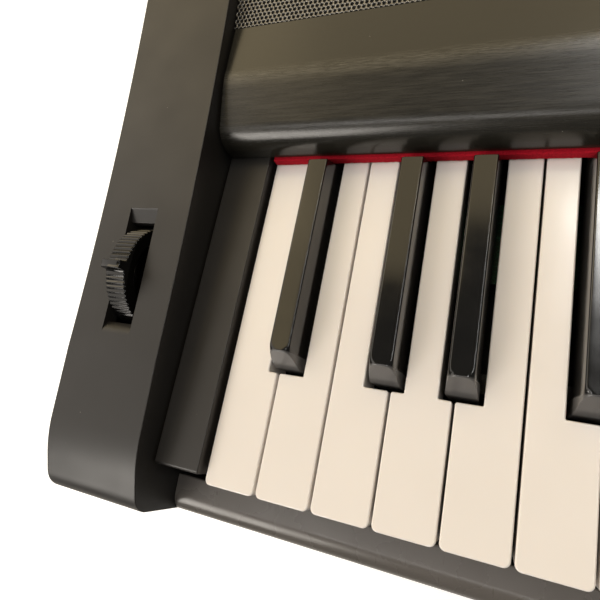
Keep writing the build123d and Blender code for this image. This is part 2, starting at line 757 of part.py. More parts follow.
def make_cheek_left():
    """The left cheek with the wheel's slot and the frame that stiffens it below."""
    frame = block(
        SLOT_X - SLOT_FRAME,
        SLOT_X + SLOT_WIDTH + SLOT_FRAME,
        SLOT_FRONT_Y - SLOT_FRAME,
        SLOT_REAR_Y + SLOT_FRAME,
        cheek_top(SLOT_FRONT_Y) - 2 * RAMP_DEPTH,
        CHEEK_SHOULDER_Z,
    )
    solid_cheek = prism(cheek_section(), LEFT_X, WALL_X)
    wheel_room = crossbar(
        WHEEL_R + WHEEL_CLEARANCE, WHEEL_Y, WHEEL_Z, SLOT_X, SLOT_X + SLOT_WIDTH
    )
    return make_cheek() + (frame & solid_cheek) - slot_cutter() - wheel_room


def make_key_block():
    """The filler beside the lowest key: a hollow block with a rounded front edge."""
    x0 = WALL_X + WALL_GAP
    x1 = -BLOCK_GAP
    rear = LIP_Y + LIP_FLANGE / 2
    shell = block(x0, x1, BLOCK_SETBACK, rear, CHASSIS_TOP_Z, BLOCK_TOP_Z)
    front_edges = shell.edges().group_by(Axis.Y)[0].filter_by(Axis.X)
    shell = fillet(front_edges.sort_by(Axis.Z)[-1], BLOCK_EDGE_R)
    ledge_top = STOP_TOP_Z
    room_top = BLOCK_TOP_Z - SKIN
    room_front = BLOCK_SETBACK + SKIN
    shell -= block(x0 + SKIN, x1 - SKIN, room_front, rear - SKIN, CHASSIS_TOP_Z, room_top)
    return shell - block(x0, x1, 0, rear, CHASSIS_TOP_Z, ledge_top)


def make_front_rail():
    """The rail ahead of the keys: a rounded nose, open behind."""
    outline = FilletPolyline(
        (-RAIL_GAP, RAIL_TOP_Z - RAIL_LIP),
        (-RAIL_GAP, RAIL_TOP_Z),
        (NOSE_Y, RAIL_TOP_Z - SKIN / 4),
        (NOSE_Y, SPLIT_Z),
        radius=[SKIN / 3, RAIL_NOSE_R],
    )
    section = make_face(offset(outline, SKIN, side=Side.LEFT))
    return prism(section, WALL_X, RIGHT_WALL_X)


# ---- top panel, rear cover, grilles and felt ------------------------------------------------
def panel_outline():
    return FilletPolyline(
        (LIP_Y + LIP_FLANGE, BLOCK_TOP_Z),
        (LIP_Y, BLOCK_TOP_Z),
        (LIP_Y, LIP_CORNER_Z),
        (BEND_Y, BEND_Z),
        (DECK_Y, DECK_Z),
        (DECK_END_Y, DECK_END_Z),
        (REAR_Y, SHELF_Z),
        (REAR_Y, SKIRT_Z),
        radius=[0, LIP_R, BEND_R, 0, BEND_R, SHELF_R],
    )


def grille_middle_x(side):
    """Middle of a grille from the middle of the deck: side is -1 left, +1 right."""
    return side * (PANEL_WIDTH - GRILLE_WIDTH) / 2


def grille_middle_y():
    return -DECK_LENGTH / 2 + GRILLE_GAP + GRILLE_DEPTH / 2


def speaker_hole(side, radius, depth):
    hole = Cylinder(radius, depth, align=(Align.CENTER, Align.CENTER, Align.MAX))
    return on_deck(grille_middle_x(side), grille_middle_y(), -BAFFLE_DEPTH, hole)


def add_grille_seat(panel, side):
    """A sunk seat for the grille, with a baffle under it that carries the speaker."""
    x = grille_middle_x(side)
    y = grille_middle_y()
    low = (Align.CENTER, Align.CENTER, Align.MAX)
    depth = BAFFLE_DEPTH + BAFFLE_WALL
    margin = 2 * (GRILLE_GAP + GRILLE_LEDGE)
    pad = Box(GRILLE_WIDTH, GRILLE_DEPTH + margin, depth - SKIN / 2, align=low)
    panel += on_deck(x, y, -SKIN / 2, pad)
    seat = Box(GRILLE_WIDTH, GRILLE_DEPTH + 2 * GRILLE_GAP, GRILLE_SHEET + GRILLE_SINK, align=low)
    panel -= on_deck(x, y, 0, seat)
    inner = -side * GRILLE_GAP / 2
    panel -= on_deck(
        x + inner,
        y,
        0,
        Box(GRILLE_WIDTH + GRILLE_GAP, GRILLE_DEPTH, GRILLE_SHEET + GRILLE_SINK, align=low),
    )
    room = Box(
        GRILLE_WIDTH - 2 * GRILLE_LEDGE, GRILLE_DEPTH - 2 * GRILLE_LEDGE, BAFFLE_DEPTH, align=low
    )
    panel -= on_deck(x, y, 0, room)
    return panel - speaker_hole(side, SPEAKER_CONE_R, depth)


def button_places(side):
    """Middles of one bank of buttons on the deck."""
    xs = [side * (BUTTON_BANK_X + BUTTON_PITCH_X * i) for i in range(BUTTON_COLUMNS)]
    ys = [BUTTON_PITCH_Y * (j - (BUTTON_ROWS - 1) / 2) for j in range(BUTTON_ROWS)]
    return [(x, y) for x in xs for y in ys]


def button_block(x, y, grow, z0, z1):
    size = Box(BUTTON_WIDTH + 2 * grow, BUTTON_DEPTH + 2 * grow, z1 - z0)
    return on_deck(x, y, (z0 + z1) / 2, size)


def board_bosses_x():
    half = CONTROL_BOARD_WIDTH / 2 - 2 * BOSS_R
    return evenly(-half, half, 4)


def boss_y():
    return CONTROL_BOARD_DEPTH / 2 - BOSS_R


def shelf_z(y):
    """Height of the panel's flat rear part."""
    return DECK_END_Z + (SHELF_Z - DECK_END_Z) * (y - DECK_END_Y) / (REAR_Y - DECK_END_Y)


REST_TILT = Plane(
    origin=(MIDDLE_X, REST_Y, shelf_z(REST_Y) + REST_LIFT),
    x_dir=(1, 0, 0),
    z_dir=(0, sin(radians(REST_LEAN)), cos(radians(REST_LEAN))),
)


def in_rest_plane(x, y, z, shape):
    """Puts a shape in the music rest's leaning frame: z from its foot along the board."""
    return REST_TILT.location * Pos(x, y, z) * shape


def tongue(x, grow, length):
    size = Box(
        TONGUE_WIDTH + 2 * grow,
        REST_BOARD + 2 * grow,
        length,
        align=(Align.CENTER, Align.CENTER, Align.MAX),
    )
    return in_rest_plane(x, 0, REST_LIFT if grow else 0, size)


def make_top_panel():
    """The panel behind the keys: rounded lip, deck with seats and holes, shelf and skirt."""
    panel = prism(sheet(panel_outline(), SKIN), PANEL_X, PANEL_X + PANEL_WIDTH)
    panel += block(
        PANEL_X,
        PANEL_X + PANEL_WIDTH,
        REAR_Y - CASE_WALL - SKIN,
        REAR_Y - CASE_WALL,
        SKIRT_Z - SKIRT_LIP,
        SKIRT_Z + SKIRT_LIP,
    )
    for side in (-1, 1):
        panel = add_grille_seat(panel, side)
        for x, y in button_places(side):
            panel -= button_block(x, y, BUTTON_GAP, -2 * SKIN, SKIN)
    window = Box(DISPLAY_WIDTH, DISPLAY_DEPTH, 2 * DISPLAY_THICKNESS)
    frame_size = (DISPLAY_WIDTH + 4 * SKIN, DISPLAY_DEPTH + 4 * SKIN, 2 * SKIN)
    panel += on_deck(0, 0, -2 * SKIN, Box(*frame_size))
    panel -= on_deck(0, 0, 0, window)
    see_through = Box(DISPLAY_WIDTH - 4 * SKIN, DISPLAY_DEPTH - 4 * SKIN, 8 * SKIN)
    panel -= on_deck(0, 0, 0, see_through)
    panel -= on_deck(POWER_X, 0, 0, Cylinder(POWER_R + BUTTON_GAP, 4 * SKIN))
    for x in (KNOB_X, DIAL_X):
        panel -= on_deck(x, 0, 0, Cylinder(KNOB_SHAFT_R + RUNNING_GAP, 4 * SKIN))
    boss_height = CONTROL_BOARD_DROP - SKIN / 2
    boss_z = -CONTROL_BOARD_DROP + boss_height / 2
    bosses = [(x, y) for x in board_bosses_x() for y in (-boss_y(), boss_y())]
    panel += [on_deck(x, y, boss_z, Cylinder(BOSS_R, boss_height)) for x, y in bosses]
    for x in (-TONGUE_SPACING / 2, TONGUE_SPACING / 2):
        socket = tongue(x, TONGUE_GAP + SKIN, TONGUE_LENGTH + REST_LIFT + SKIN)
        panel += socket & prism(below_skin(), 0, KEYBOARD_WIDTH)
        panel -= tongue(x, TONGUE_GAP, TONGUE_LENGTH + REST_LIFT)
    boss_z = SKIRT_Z - SKIRT_LIP / 2
    y0 = REAR_Y - CASE_WALL - COVER_SCREW_LENGTH
    for x in cover_screws_x():
        panel += lengthbar(SCREW_HEAD_R, x, boss_z, y0, REAR_Y - CASE_WALL)
        panel -= lengthbar(SCREW_R + RUNNING_GAP, x, boss_z, y0, REAR_Y)
    return panel


def below_skin():
    """The Y-Z area under the middle of the panel's rear skin."""
    y0 = DECK_END_Y + SHELF_R
    y1 = REAR_Y - SHELF_R
    drop = SKIN / 2
    return make_face(
        Polyline((y0, 0), (y1, 0), (y1, shelf_z(y1) - drop), (y0, shelf_z(y0) - drop), (y0, 0))
    )


def cover_screws_x():
    return evenly(4 * TOWER_R, KEYBOARD_WIDTH - 4 * TOWER_R, COVER_SCREWS)


def make_rear_cover():
    cover = block(WALL_X, RIGHT_WALL_X, REAR_Y - CASE_WALL, REAR_Y, SPLIT_Z, SKIRT_Z)
    for x in cover_screws_x():
        z = SKIRT_Z - SKIRT_LIP / 2
        cover -= lengthbar(SCREW_R + RUNNING_GAP, x, z, REAR_Y - CASE_WALL, REAR_Y)
        cover -= lengthbar(SCREW_HEAD_R + RUNNING_GAP, x, z, REAR_Y - SCREW_HEAD, REAR_Y)
    for x in JACKS_X:
        cover -= lengthbar(JACK_COLLAR_R + RUNNING_GAP, x, JACK_Z, REAR_Y - CASE_WALL, REAR_Y)
    return cover


def make_grille(side):
    sheet_metal = Box(
        GRILLE_WIDTH, GRILLE_DEPTH, GRILLE_SHEET, align=(Align.CENTER, Align.CENTER, Align.MAX)
    )
    return on_deck(grille_middle_x(side), grille_middle_y(), -GRILLE_SINK, sheet_metal)


def make_felt_strip():
    """Red felt that closes the gap between the key tops and the panel's lip."""
    return block(
        -BLOCK_GAP,
        KEYBOARD_WIDTH + BLOCK_GAP,
        FELT_Y,
        FELT_Y + FELT_WIDTH,
        FELT_LIFT,
        BLOCK_TOP_Z,
    )


def make_speaker(side):
    """A drive unit with flange, cone basket and magnet, screwed under the baffle."""
    top = -BAFFLE_DEPTH - BAFFLE_WALL
    down = (Align.CENTER, Align.CENTER, Align.MAX)
    x = grille_middle_x(side)
    y = grille_middle_y()
    basket = SPEAKER_DEPTH - MAGNET_HEIGHT - SPEAKER_FLANGE
    unit = Cylinder(SPEAKER_R, SPEAKER_FLANGE, align=down)
    unit += Pos(0, 0, -SPEAKER_FLANGE) * Cone(MAGNET_R * 0.8, SPEAKER_CONE_R, basket, align=down)
    unit += Pos(0, 0, -SPEAKER_FLANGE - basket) * Cylinder(MAGNET_R, MAGNET_HEIGHT, align=down)
    hollow = Cone(MAGNET_R * 0.4, SPEAKER_CONE_R - SKIN, basket, align=down)
    return on_deck(x, y, top, unit - hollow)


# ---- lower case and what stands in it -------------------------------------------------------
def lower_case_section():
    return make_face(
        Polyline(
            (NOSE_Y, SPLIT_Z),
            (NOSE_Y + FRONT_UNDERCUT, CASE_BOTTOM_Z),
            (REAR_Y - REAR_UNDERCUT, CASE_BOTTOM_Z),
            (REAR_Y, SPLIT_Z),
            (NOSE_Y, SPLIT_Z),
        )
    )


def cheek_screws():
    """Places of the screws that hold the cheeks, from below."""
    left = (LEFT_X + WALL_X) / 2
    return [(x, y) for x in (left, KEYBOARD_WIDTH - left) for y in case_screws_y()]


def clamp_places():
    """Places of the hand screws in the keyboard's frame."""
    return [
        (MIDDLE_X + side * CLAMP_X, y + BODY_DEPTH / 2 - NOSE_REACH)
        for side in (-1, 1)
        for y in BRACKETS_Y
    ]


def main_board_corners():
    width, depth = MAIN_BOARD_SIZE
    inset = 2 * STANDOFF_R
    xs = (MAIN_BOARD_X + inset, MAIN_BOARD_X + width - inset)
    ys = (MAIN_BOARD_Y + inset, MAIN_BOARD_Y + depth - inset)
    return [(x, y) for x in xs for y in ys]


def make_lower_case():
    """The tray under everything, with screw towers, clamp bosses and standoffs."""
    section = lower_case_section()
    case = prism(section, LEFT_X, RIGHT_X)
    case -= prism(offset(section, -CASE_WALL), LEFT_X + CASE_WALL, RIGHT_X - CASE_WALL)
    lid = make_face(
        Polyline(
            (NOSE_Y + 2 * CASE_WALL, SPLIT_Z - 2 * CASE_WALL),
            (REAR_Y - 2 * CASE_WALL, SPLIT_Z - 2 * CASE_WALL),
            (REAR_Y - CASE_WALL, SPLIT_Z),
            (NOSE_Y + CASE_WALL, SPLIT_Z),
            (NOSE_Y + 2 * CASE_WALL, SPLIT_Z - 2 * CASE_WALL),
        )
    )
    case -= prism(lid, LEFT_X + CASE_WALL, RIGHT_X - CASE_WALL)
    case += [upright(TOWER_R, x, y, CASE_FLOOR_Z, SPLIT_Z) for x, y in cheek_screws()]
    case += [
        upright(CLAMP_BOSS_R, x, y, CASE_FLOOR_Z, CASE_BOTTOM_Z + CLAMP_LENGTH)
        for x, y in clamp_places()
    ]
    case += [
        upright(STANDOFF_R, x, y, CASE_FLOOR_Z, CASE_FLOOR_Z + STANDOFF_HEIGHT)
        for x, y in main_board_corners()
    ]
    for x, y in cheek_screws():
        case -= upright(SCREW_R + RUNNING_GAP, x, y, CASE_BOTTOM_Z, SPLIT_Z)
        case -= upright(
            SCREW_HEAD_R + RUNNING_GAP, x, y, CASE_BOTTOM_Z, CASE_BOTTOM_Z + SCREW_HEAD
        )
    for x, y in clamp_places():
        case -= upright(CLAMP_R + RUNNING_GAP, x, y, CASE_BOTTOM_Z, CASE_BOTTOM_Z + CLAMP_LENGTH)
    return case


def make_case_screws():
    """Screws from below into the cheeks, and through the rear cover into the panel."""
    screws = []
    for x, y in cheek_screws():
        screw = upright(SCREW_HEAD_R, x, y, CASE_BOTTOM_Z, CASE_BOTTOM_Z + SCREW_HEAD)
        tip_z = CASE_BOTTOM_Z + CASE_SCREW_LENGTH
        screws.append(screw + upright(SCREW_R, x, y, CASE_BOTTOM_Z, tip_z))
    z = SKIRT_Z - SKIRT_LIP / 2
    for x in cover_screws_x():
        screw = lengthbar(SCREW_HEAD_R, x, z, REAR_Y - SCREW_HEAD, REAR_Y)
        screws.append(screw + lengthbar(SCREW_R, x, z, REAR_Y - COVER_SCREW_LENGTH, REAR_Y))
    return group(screws)


def make_main_board():
    width, depth = MAIN_BOARD_SIZE
    z0 = CASE_FLOOR_Z + STANDOFF_HEIGHT
    board = block(
        MAIN_BOARD_X,
        MAIN_BOARD_X + width,
        MAIN_BOARD_Y,
        MAIN_BOARD_Y + depth,
        z0,
        z0 + BOARD_THICKNESS,
    )
    half = CHIP_WIDTH / 2
    chip = block(-half, half, -half, half, 0, CHIP_HEIGHT)
    can = Cylinder(CAN_R, CAN_HEIGHT, align=(Align.CENTER, Align.CENTER, Align.MIN))
    top = z0 + BOARD_THICKNESS
    for share in (0.25, 0.5):
        board += Pos(MAIN_BOARD_X + width * share, MAIN_BOARD_Y + depth * 0.5, top) * chip
    for share in (0.2, 0.4, 0.6):
        board += Pos(MAIN_BOARD_X + width * 0.8, MAIN_BOARD_Y + depth * share, top) * can
    return board


def make_rear_jacks():
    """Sockets behind the rear cover, each with a collar that fills its hole."""
    jacks = []
    y0 = REAR_Y - CASE_WALL - JACK_DEPTH
    half = JACK_WIDTH / 2
    for x in JACKS_X:
        jack = block(x - half, x + half, y0, REAR_Y - CASE_WALL, JACK_Z - half, JACK_Z + half)
        jack += lengthbar(JACK_COLLAR_R, x, JACK_Z, REAR_Y - CASE_WALL, REAR_Y)
        jack -= lengthbar(JACK_BORE_R, x, JACK_Z, REAR_Y - JACK_BORE_DEPTH, REAR_Y)
        jacks.append(jack)
    return group(jacks)


# ---- bend wheel -----------------------------------------------------------------------------
def make_bend_wheel():
    """A dished wheel with a grooved rim and one raised ridge."""
    rim = Circle(WHEEL_R)
    grooves = []
    angle = GRIP_FREE_REAR
    while angle <= 360 - GRIP_FREE_FRONT:
        groove = Pos(0, WHEEL_R + GRIP_GROOVE_SINK) * Circle(GRIP_GROOVE_R)
        grooves.append(Rot(0, 0, angle) * groove)
        angle += GRIP_PITCH
    rim -= grooves
    half = RIDGE_WIDTH / 2
    ridge = make_face(
        Polyline(
            (-RIDGE_FOOT, WHEEL_R - 1.2),
            (-half, RIDGE_R),
            (half, RIDGE_R),
            (RIDGE_FOOT, WHEEL_R - 1.2),
            (0, 0),
            (-RIDGE_FOOT, WHEEL_R - 1.2),
        )
    )
    wheel = prism(rim + ridge, 0, WHEEL_WIDTH)
    dish = Circle(WHEEL_R - WHEEL_RIM) - Circle(WHEEL_HUB_R)
    wheel -= prism(dish, WHEEL_WIDTH - WHEEL_DISH, WHEEL_WIDTH)
    wheel -= prism(Circle(AXLE_R + RUNNING_GAP), 0, WHEEL_WIDTH)
    return Pos(WHEEL_X, WHEEL_Y, WHEEL_Z) * Rot(WHEEL_TILT, 0, 0) * wheel


def ear_spans():
    """X from and to of the holder's two ears."""
    left = WHEEL_X - HOLDER_EAR_GAP
    right = WHEEL_X + WHEEL_WIDTH + HOLDER_EAR_GAP
    return [(left - HOLDER_EAR, left), (right, right + HOLDER_EAR)]


def make_wheel_holder():
    """A bridge between the cheek's walls with two ears for the axle."""
    z1 = WHEEL_Z - HOLDER_DROP
    y0 = WHEEL_Y - HOLDER_LENGTH / 2
    y1 = WHEEL_Y + HOLDER_LENGTH / 2
    holder = block(LEFT_X + CASE_WALL, WALL_X - CASE_WALL, y0, y1, z1 - HOLDER_WALL, z1)
    ear_half = 3 * AXLE_R
    for x0, x1 in ear_spans():
        holder += block(x0, x1, WHEEL_Y - ear_half, WHEEL_Y + ear_half, z1 - HOLDER_WALL, WHEEL_Z)
        holder += crossbar(ear_half, WHEEL_Y, WHEEL_Z, x0, x1)
    return holder - wheel_pin(AXLE_R + RUNNING_GAP)


def wheel_pin(radius):
    spans = ear_spans()
    return crossbar(radius, WHEEL_Y, WHEEL_Z, spans[0][0] - HOLDER_WALL, spans[1][1] + HOLDER_WALL)


def make_wheel_spring():
    """The centring spring, coiled round the axle between the wheel and an ear."""
    x0 = WHEEL_X + WHEEL_WIDTH + STOP_GAP
    x1 = WHEEL_X + WHEEL_WIDTH + HOLDER_EAR_GAP
    coil = crossbar(2 * AXLE_R, WHEEL_Y, WHEEL_Z, x0, x1)
    return coil - crossbar(AXLE_R + STOP_GAP, WHEEL_Y, WHEEL_Z, x0, x1)


# ---- controls -------------------------------------------------------------------------------
def make_display_window():
    pane = Box(DISPLAY_WIDTH, DISPLAY_DEPTH, DISPLAY_THICKNESS)
    return on_deck(0, 0, -DISPLAY_THICKNESS / 2, pane)


def make_buttons(side):
    """One bank of buttons, each a cap that stands a little proud of the deck."""
    z0 = BUTTON_PROUD - BUTTON_HEIGHT
    return group([button_block(x, y, 0, z0, BUTTON_PROUD) for x, y in button_places(side)])


def make_power_button():
    z = BUTTON_PROUD - BUTTON_HEIGHT / 2
    return on_deck(POWER_X, 0, z, Cylinder(POWER_R, BUTTON_HEIGHT))


def make_knob(x, radius, height):
    """A turned knob on a shaft that goes through the deck."""
    up = (Align.CENTER, Align.CENTER, Align.MIN)
    cap = Cone(radius, radius * 0.93, height, align=up)
    cap = Pos(0, 0, KNOB_LIFT) * fillet(cap.edges().sort_by(Axis.Z)[-1], height / 8)
    depth = CONTROL_BOARD_DROP - BOARD_THICKNESS
    shaft = Cylinder(KNOB_SHAFT_R, depth + height / 2, align=up)
    return on_deck(x, 0, 0, cap + Pos(0, 0, -depth) * shaft)


def make_control_board():
    """The board under the deck, with a switch under every button and two rotary controls."""
    half = BOARD_THICKNESS / 2
    z = -CONTROL_BOARD_DROP - half
    board = Box(CONTROL_BOARD_WIDTH, CONTROL_BOARD_DEPTH, BOARD_THICKNESS)
    shape = on_deck(0, 0, z, board)
    switch_top = BUTTON_PROUD - BUTTON_HEIGHT - BUTTON_TRAVEL - STOP_GAP / 3
    height = switch_top + CONTROL_BOARD_DROP + half
    down = (Align.CENTER, Align.CENTER, Align.MAX)
    switch = Box(SWITCH_WIDTH, SWITCH_WIDTH, height, align=down)
    places = [(POWER_X, 0.0), *button_places(-1), *button_places(1)]
    shape += [on_deck(x, y, switch_top, switch) for x, y in places]
    pot_top = -CONTROL_BOARD_DROP + BOARD_THICKNESS - STOP_GAP
    pot = Box(POT_WIDTH, POT_WIDTH, pot_top + CONTROL_BOARD_DROP + half, align=down)
    return shape + [on_deck(x, 0, pot_top, pot) for x in (KNOB_X, DIAL_X)]


def make_music_rest():
    """A leaning board with a ledge for the sheets and two tongues that stand in the panel."""
    board = Rectangle(REST_WIDTH, REST_HEIGHT)
    board = fillet(board.vertices().group_by(Axis.Y)[-1], REST_CORNER_R)
    board = Rot(90, 0, 0) * extrude(board, amount=REST_BOARD)
    rest = in_rest_plane(0, REST_BOARD / 2, REST_HEIGHT / 2, board)
    ledge = Box(REST_WIDTH, REST_LEDGE, REST_BOARD, align=(Align.CENTER, Align.MAX, Align.MIN))
    lift = REST_LEDGE * tan(radians(REST_LEAN))
    rest += in_rest_plane(0, -REST_BOARD / 2, lift, ledge)
    for x in (-TONGUE_SPACING / 2, TONGUE_SPACING / 2):
        rest += tongue(x, 0, TONGUE_LENGTH)
    return rest


# ---- stand ----------------------------------------------------------------------------------
def side_y():
    return SIDE_CENTER_Y - SIDE_DEPTH / 2, SIDE_CENTER_Y + SIDE_DEPTH / 2


def back_screw_heights():
    inset = BACK_HEIGHT / 6
    return evenly(BACK_TOP - BACK_HEIGHT + inset, BACK_TOP - inset, BACK_SCREWS)


def foot_screw_places():
    y0, y1 = side_y()
    inset = SIDE_DEPTH / 8
    return evenly(y0 + inset, y1 - inset, FOOT_SCREWS)


def bracket_screw_places():
    """Y and Z of the screws that hold the brackets to a side board."""
    drop = BRACKET_DROP * 2 / 3
    inset = BRACKET_DEPTH / 4
    return [(y + dy, STAND_TOP - drop) for y in BRACKETS_Y for dy in (-inset, inset)]


def board_screw_x(x_head, direction, y, z):
    """A countersunk screw along X: direction is the way it points."""
    far = x_head + direction * BOARD_SCREW_LENGTH
    near = x_head + direction * BOARD_SCREW_HEAD
    x0, x1 = sorted((x_head, far))
    h0, h1 = sorted((x_head, near))
    return (x0, x1), (h0, h1)


def side_drillings(grow):
    """Every screw of the left side board, grown by a clearance to make its hole."""
    shapes = []
    outer = -SIDE_OUTER_X
    y = BACK_Y + BACK_BOARD / 2
    for z in back_screw_heights():
        shaft, head = board_screw_x(outer, 1, y, z)
        shapes.append(
            crossbar(BOARD_SCREW_R + grow, y, z, *shaft)
            + crossbar(BOARD_SCREW_HEAD_R + grow, y, z, *head)
        )
    for y in foot_screw_places():
        shapes.append(
            upright(BOARD_SCREW_R + grow, -SIDE_MIDDLE_X, y, GLIDE_HEIGHT, FOOT_TOP + BOARD_SCREW_LENGTH / 2)
            + upright(
                BOARD_SCREW_HEAD_R + grow, -SIDE_MIDDLE_X, y, GLIDE_HEIGHT, GLIDE_HEIGHT + BOARD_SCREW_HEAD
            )
        )
    inner = -SIDE_INNER_X
    for y, z in bracket_screw_places():
        shapes.append(
            crossbar(BRACKET_SCREW_R + grow, y, z, inner - BRACKET_SCREW_LENGTH + BRACKET, inner + BRACKET)
            + crossbar(2 * BRACKET_SCREW_R, y, z, inner + BRACKET, inner + BRACKET + BRACKET_SCREW_R)
        )
    return shapes


def make_stand_side():
    y0, y1 = side_y()
    board = block(-SIDE_OUTER_X, -SIDE_INNER_X, y0, y1, FOOT_TOP, STAND_TOP)
    board = fillet(board.edges().filter_by(Axis.Z), SIDE_EDGE_R)
    return board - side_drillings(RUNNING_GAP)


def make_stand_foot():
    x0 = -BODY_WIDTH / 2
    half = FOOT_LENGTH / 2
    foot = block(x0, x0 + FOOT_WIDTH, -half, half, GLIDE_HEIGHT, FOOT_TOP)
    upper = foot.edges().group_by(Axis.Z)[-1] + foot.edges().filter_by(Axis.Z)
    foot = fillet(upper, FOOT_EDGE_R)
    return foot - side_drillings(RUNNING_GAP)


def make_stand_back_board():
    board = block(
        -SIDE_INNER_X, SIDE_INNER_X, BACK_Y, BACK_Y + BACK_BOARD, BACK_TOP - BACK_HEIGHT, BACK_TOP
    )
    for drilling in side_drillings(RUNNING_GAP):
        board -= drilling
        board -= mirror(drilling, about=Plane.YZ)
    return board


def make_left_brackets():
    """Two angle plates between the left side board and the instrument."""
    inner = -SIDE_INNER_X
    plates = []
    for y in BRACKETS_Y:
        y0 = y - BRACKET_DEPTH / 2
        y1 = y + BRACKET_DEPTH / 2
        plate = block(inner, inner + BRACKET, y0, y1, STAND_TOP - BRACKET_DROP, STAND_TOP)
        plate += block(inner, inner + BRACKET_REACH, y0, y1, STAND_TOP - BRACKET, STAND_TOP)
        plate -= upright(CLAMP_R + RUNNING_GAP, -CLAMP_X, y, STAND_TOP - BRACKET, STAND_TOP)
        plates.append(plate - side_drillings(RUNNING_GAP))
    return plates


def make_left_clamps():
    """Hand screws that pull the instrument down on the brackets."""
    top = STAND_TOP - BRACKET
    clamps = []
    for y in BRACKETS_Y:
        head = upright(CLAMP_HEAD_R, -CLAMP_X, y, top - CLAMP_HEAD, top)
        head = fillet(head.edges().filter_by(GeomType.CIRCLE), SIDE_EDGE_R)
        clamps.append(head + upright(CLAMP_R, -CLAMP_X, y, top, STAND_TOP + CLAMP_LENGTH))
    return clamps


def make_left_glides():
    x = -BODY_WIDTH / 2 + FOOT_WIDTH / 2
    y = FOOT_LENGTH / 2 - GLIDE_INSET
    return [upright(GLIDE_R, x, side * y, 0, GLIDE_HEIGHT) for side in (-1, 1)]


def both_ends(shapes):
    """Left pieces and their mirror images at the right, in one node."""
    return group([*shapes, *[mirror(shape, about=Plane.YZ) for shape in shapes]])


# ---- the whole ------------------------------------------------------------------------------
def instrument_nodes():
    nodes = {
        "lower_case": make_lower_case(),
        "cheek_left": make_cheek_left(),
        "cheek_right": mirrored(make_cheek()),
        "key_block_left": make_key_block(),
        "key_block_right": mirrored(make_key_block()),
        "front_rail": make_front_rail(),
        "top_panel": make_top_panel(),
        "rear_cover": make_rear_cover(),
        "grille_left": make_grille(-1),
        "grille_right": make_grille(1),
        "felt_strip": make_felt_strip(),
        "display_window": make_display_window(),
        "case_screws": make_case_screws(),
        "key_chassis": make_key_chassis(),
        "pivot_rod": pivot_bar(PIVOT_R),
        "key_springs": make_key_springs(),
        "key_felts": make_key_felts(),
        "contact_board": make_contact_board(),
        "contact_domes": make_contact_domes(),
        "main_board": make_main_board(),
        "control_board": make_control_board(),
        "speaker_left": make_speaker(-1),
        "speaker_right": make_speaker(1),
        "rear_jacks": make_rear_jacks(),
        "wheel_holder": make_wheel_holder(),
        "bend_wheel": make_bend_wheel(),
        "wheel_axle": wheel_pin(AXLE_R),
        "wheel_spring": make_wheel_spring(),
        "music_rest": make_music_rest(),
        "volume_knob": make_knob(KNOB_X, KNOB_R, KNOB_HEIGHT),
        "data_dial": make_knob(DIAL_X, DIAL_R, DIAL_HEIGHT),
        "power_button": make_power_button(),
        "buttons_left": make_buttons(-1),
        "buttons_right": make_buttons(1),
    }
    nodes.update(key_nodes())
    return {name: INSTRUMENT * shape for name, shape in nodes.items()}


def stand_nodes():
    side = make_stand_side()
    foot = make_stand_foot()
    return {
        "stand_side_left": side,
        "stand_side_right": mirror(side, about=Plane.YZ),
        "stand_foot_left": foot,
        "stand_foot_right": mirror(foot, about=Plane.YZ),
        "stand_back_board": make_stand_back_board(),
        "stand_brackets": both_ends(make_left_brackets()),
        "stand_screws": both_ends(side_drillings(0)),
        "clamp_screws": both_ends(make_left_clamps()),
        "foot_glides": both_ends(make_left_glides()),
    }


def main():
    os.makedirs("parts", exist_ok=True)
    nodes = {**instrument_nodes(), **stand_nodes()}
    for name, shape in nodes.items():
        export_step(shape, f"parts/{name}.step")
    dip_angle = degrees(atan2(KEY_DIP, PIVOT_Y))
    print(f"{len(nodes)} nodes, overall width {BODY_WIDTH:.1f}, depth {BODY_DEPTH:.1f}")
    print(f"key pivot angle {dip_angle:.2f} degrees, stand top {STAND_TOP:.1f}")


main()
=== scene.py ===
"""Digital piano on a furniture stand, dressed for rendering.

The pieces of the keyboard are drawn in its own frame, in millimetres: x = 0 at the left end of
the lowest white key, y = 0 at the white keys' front edge, z = 0 on their top faces. The stand is
drawn in millimetres above the floor. Both are placed by matrices read from the loaded frame.
"""

import json
from contextlib import contextmanager
from math import atan2, cos, degrees, pi, radians, sin, tan

import bmesh
import bpy
import numpy as np
from bpy.props import FloatProperty, FloatVectorProperty, IntProperty, PointerProperty
from mathutils import Matrix, Vector

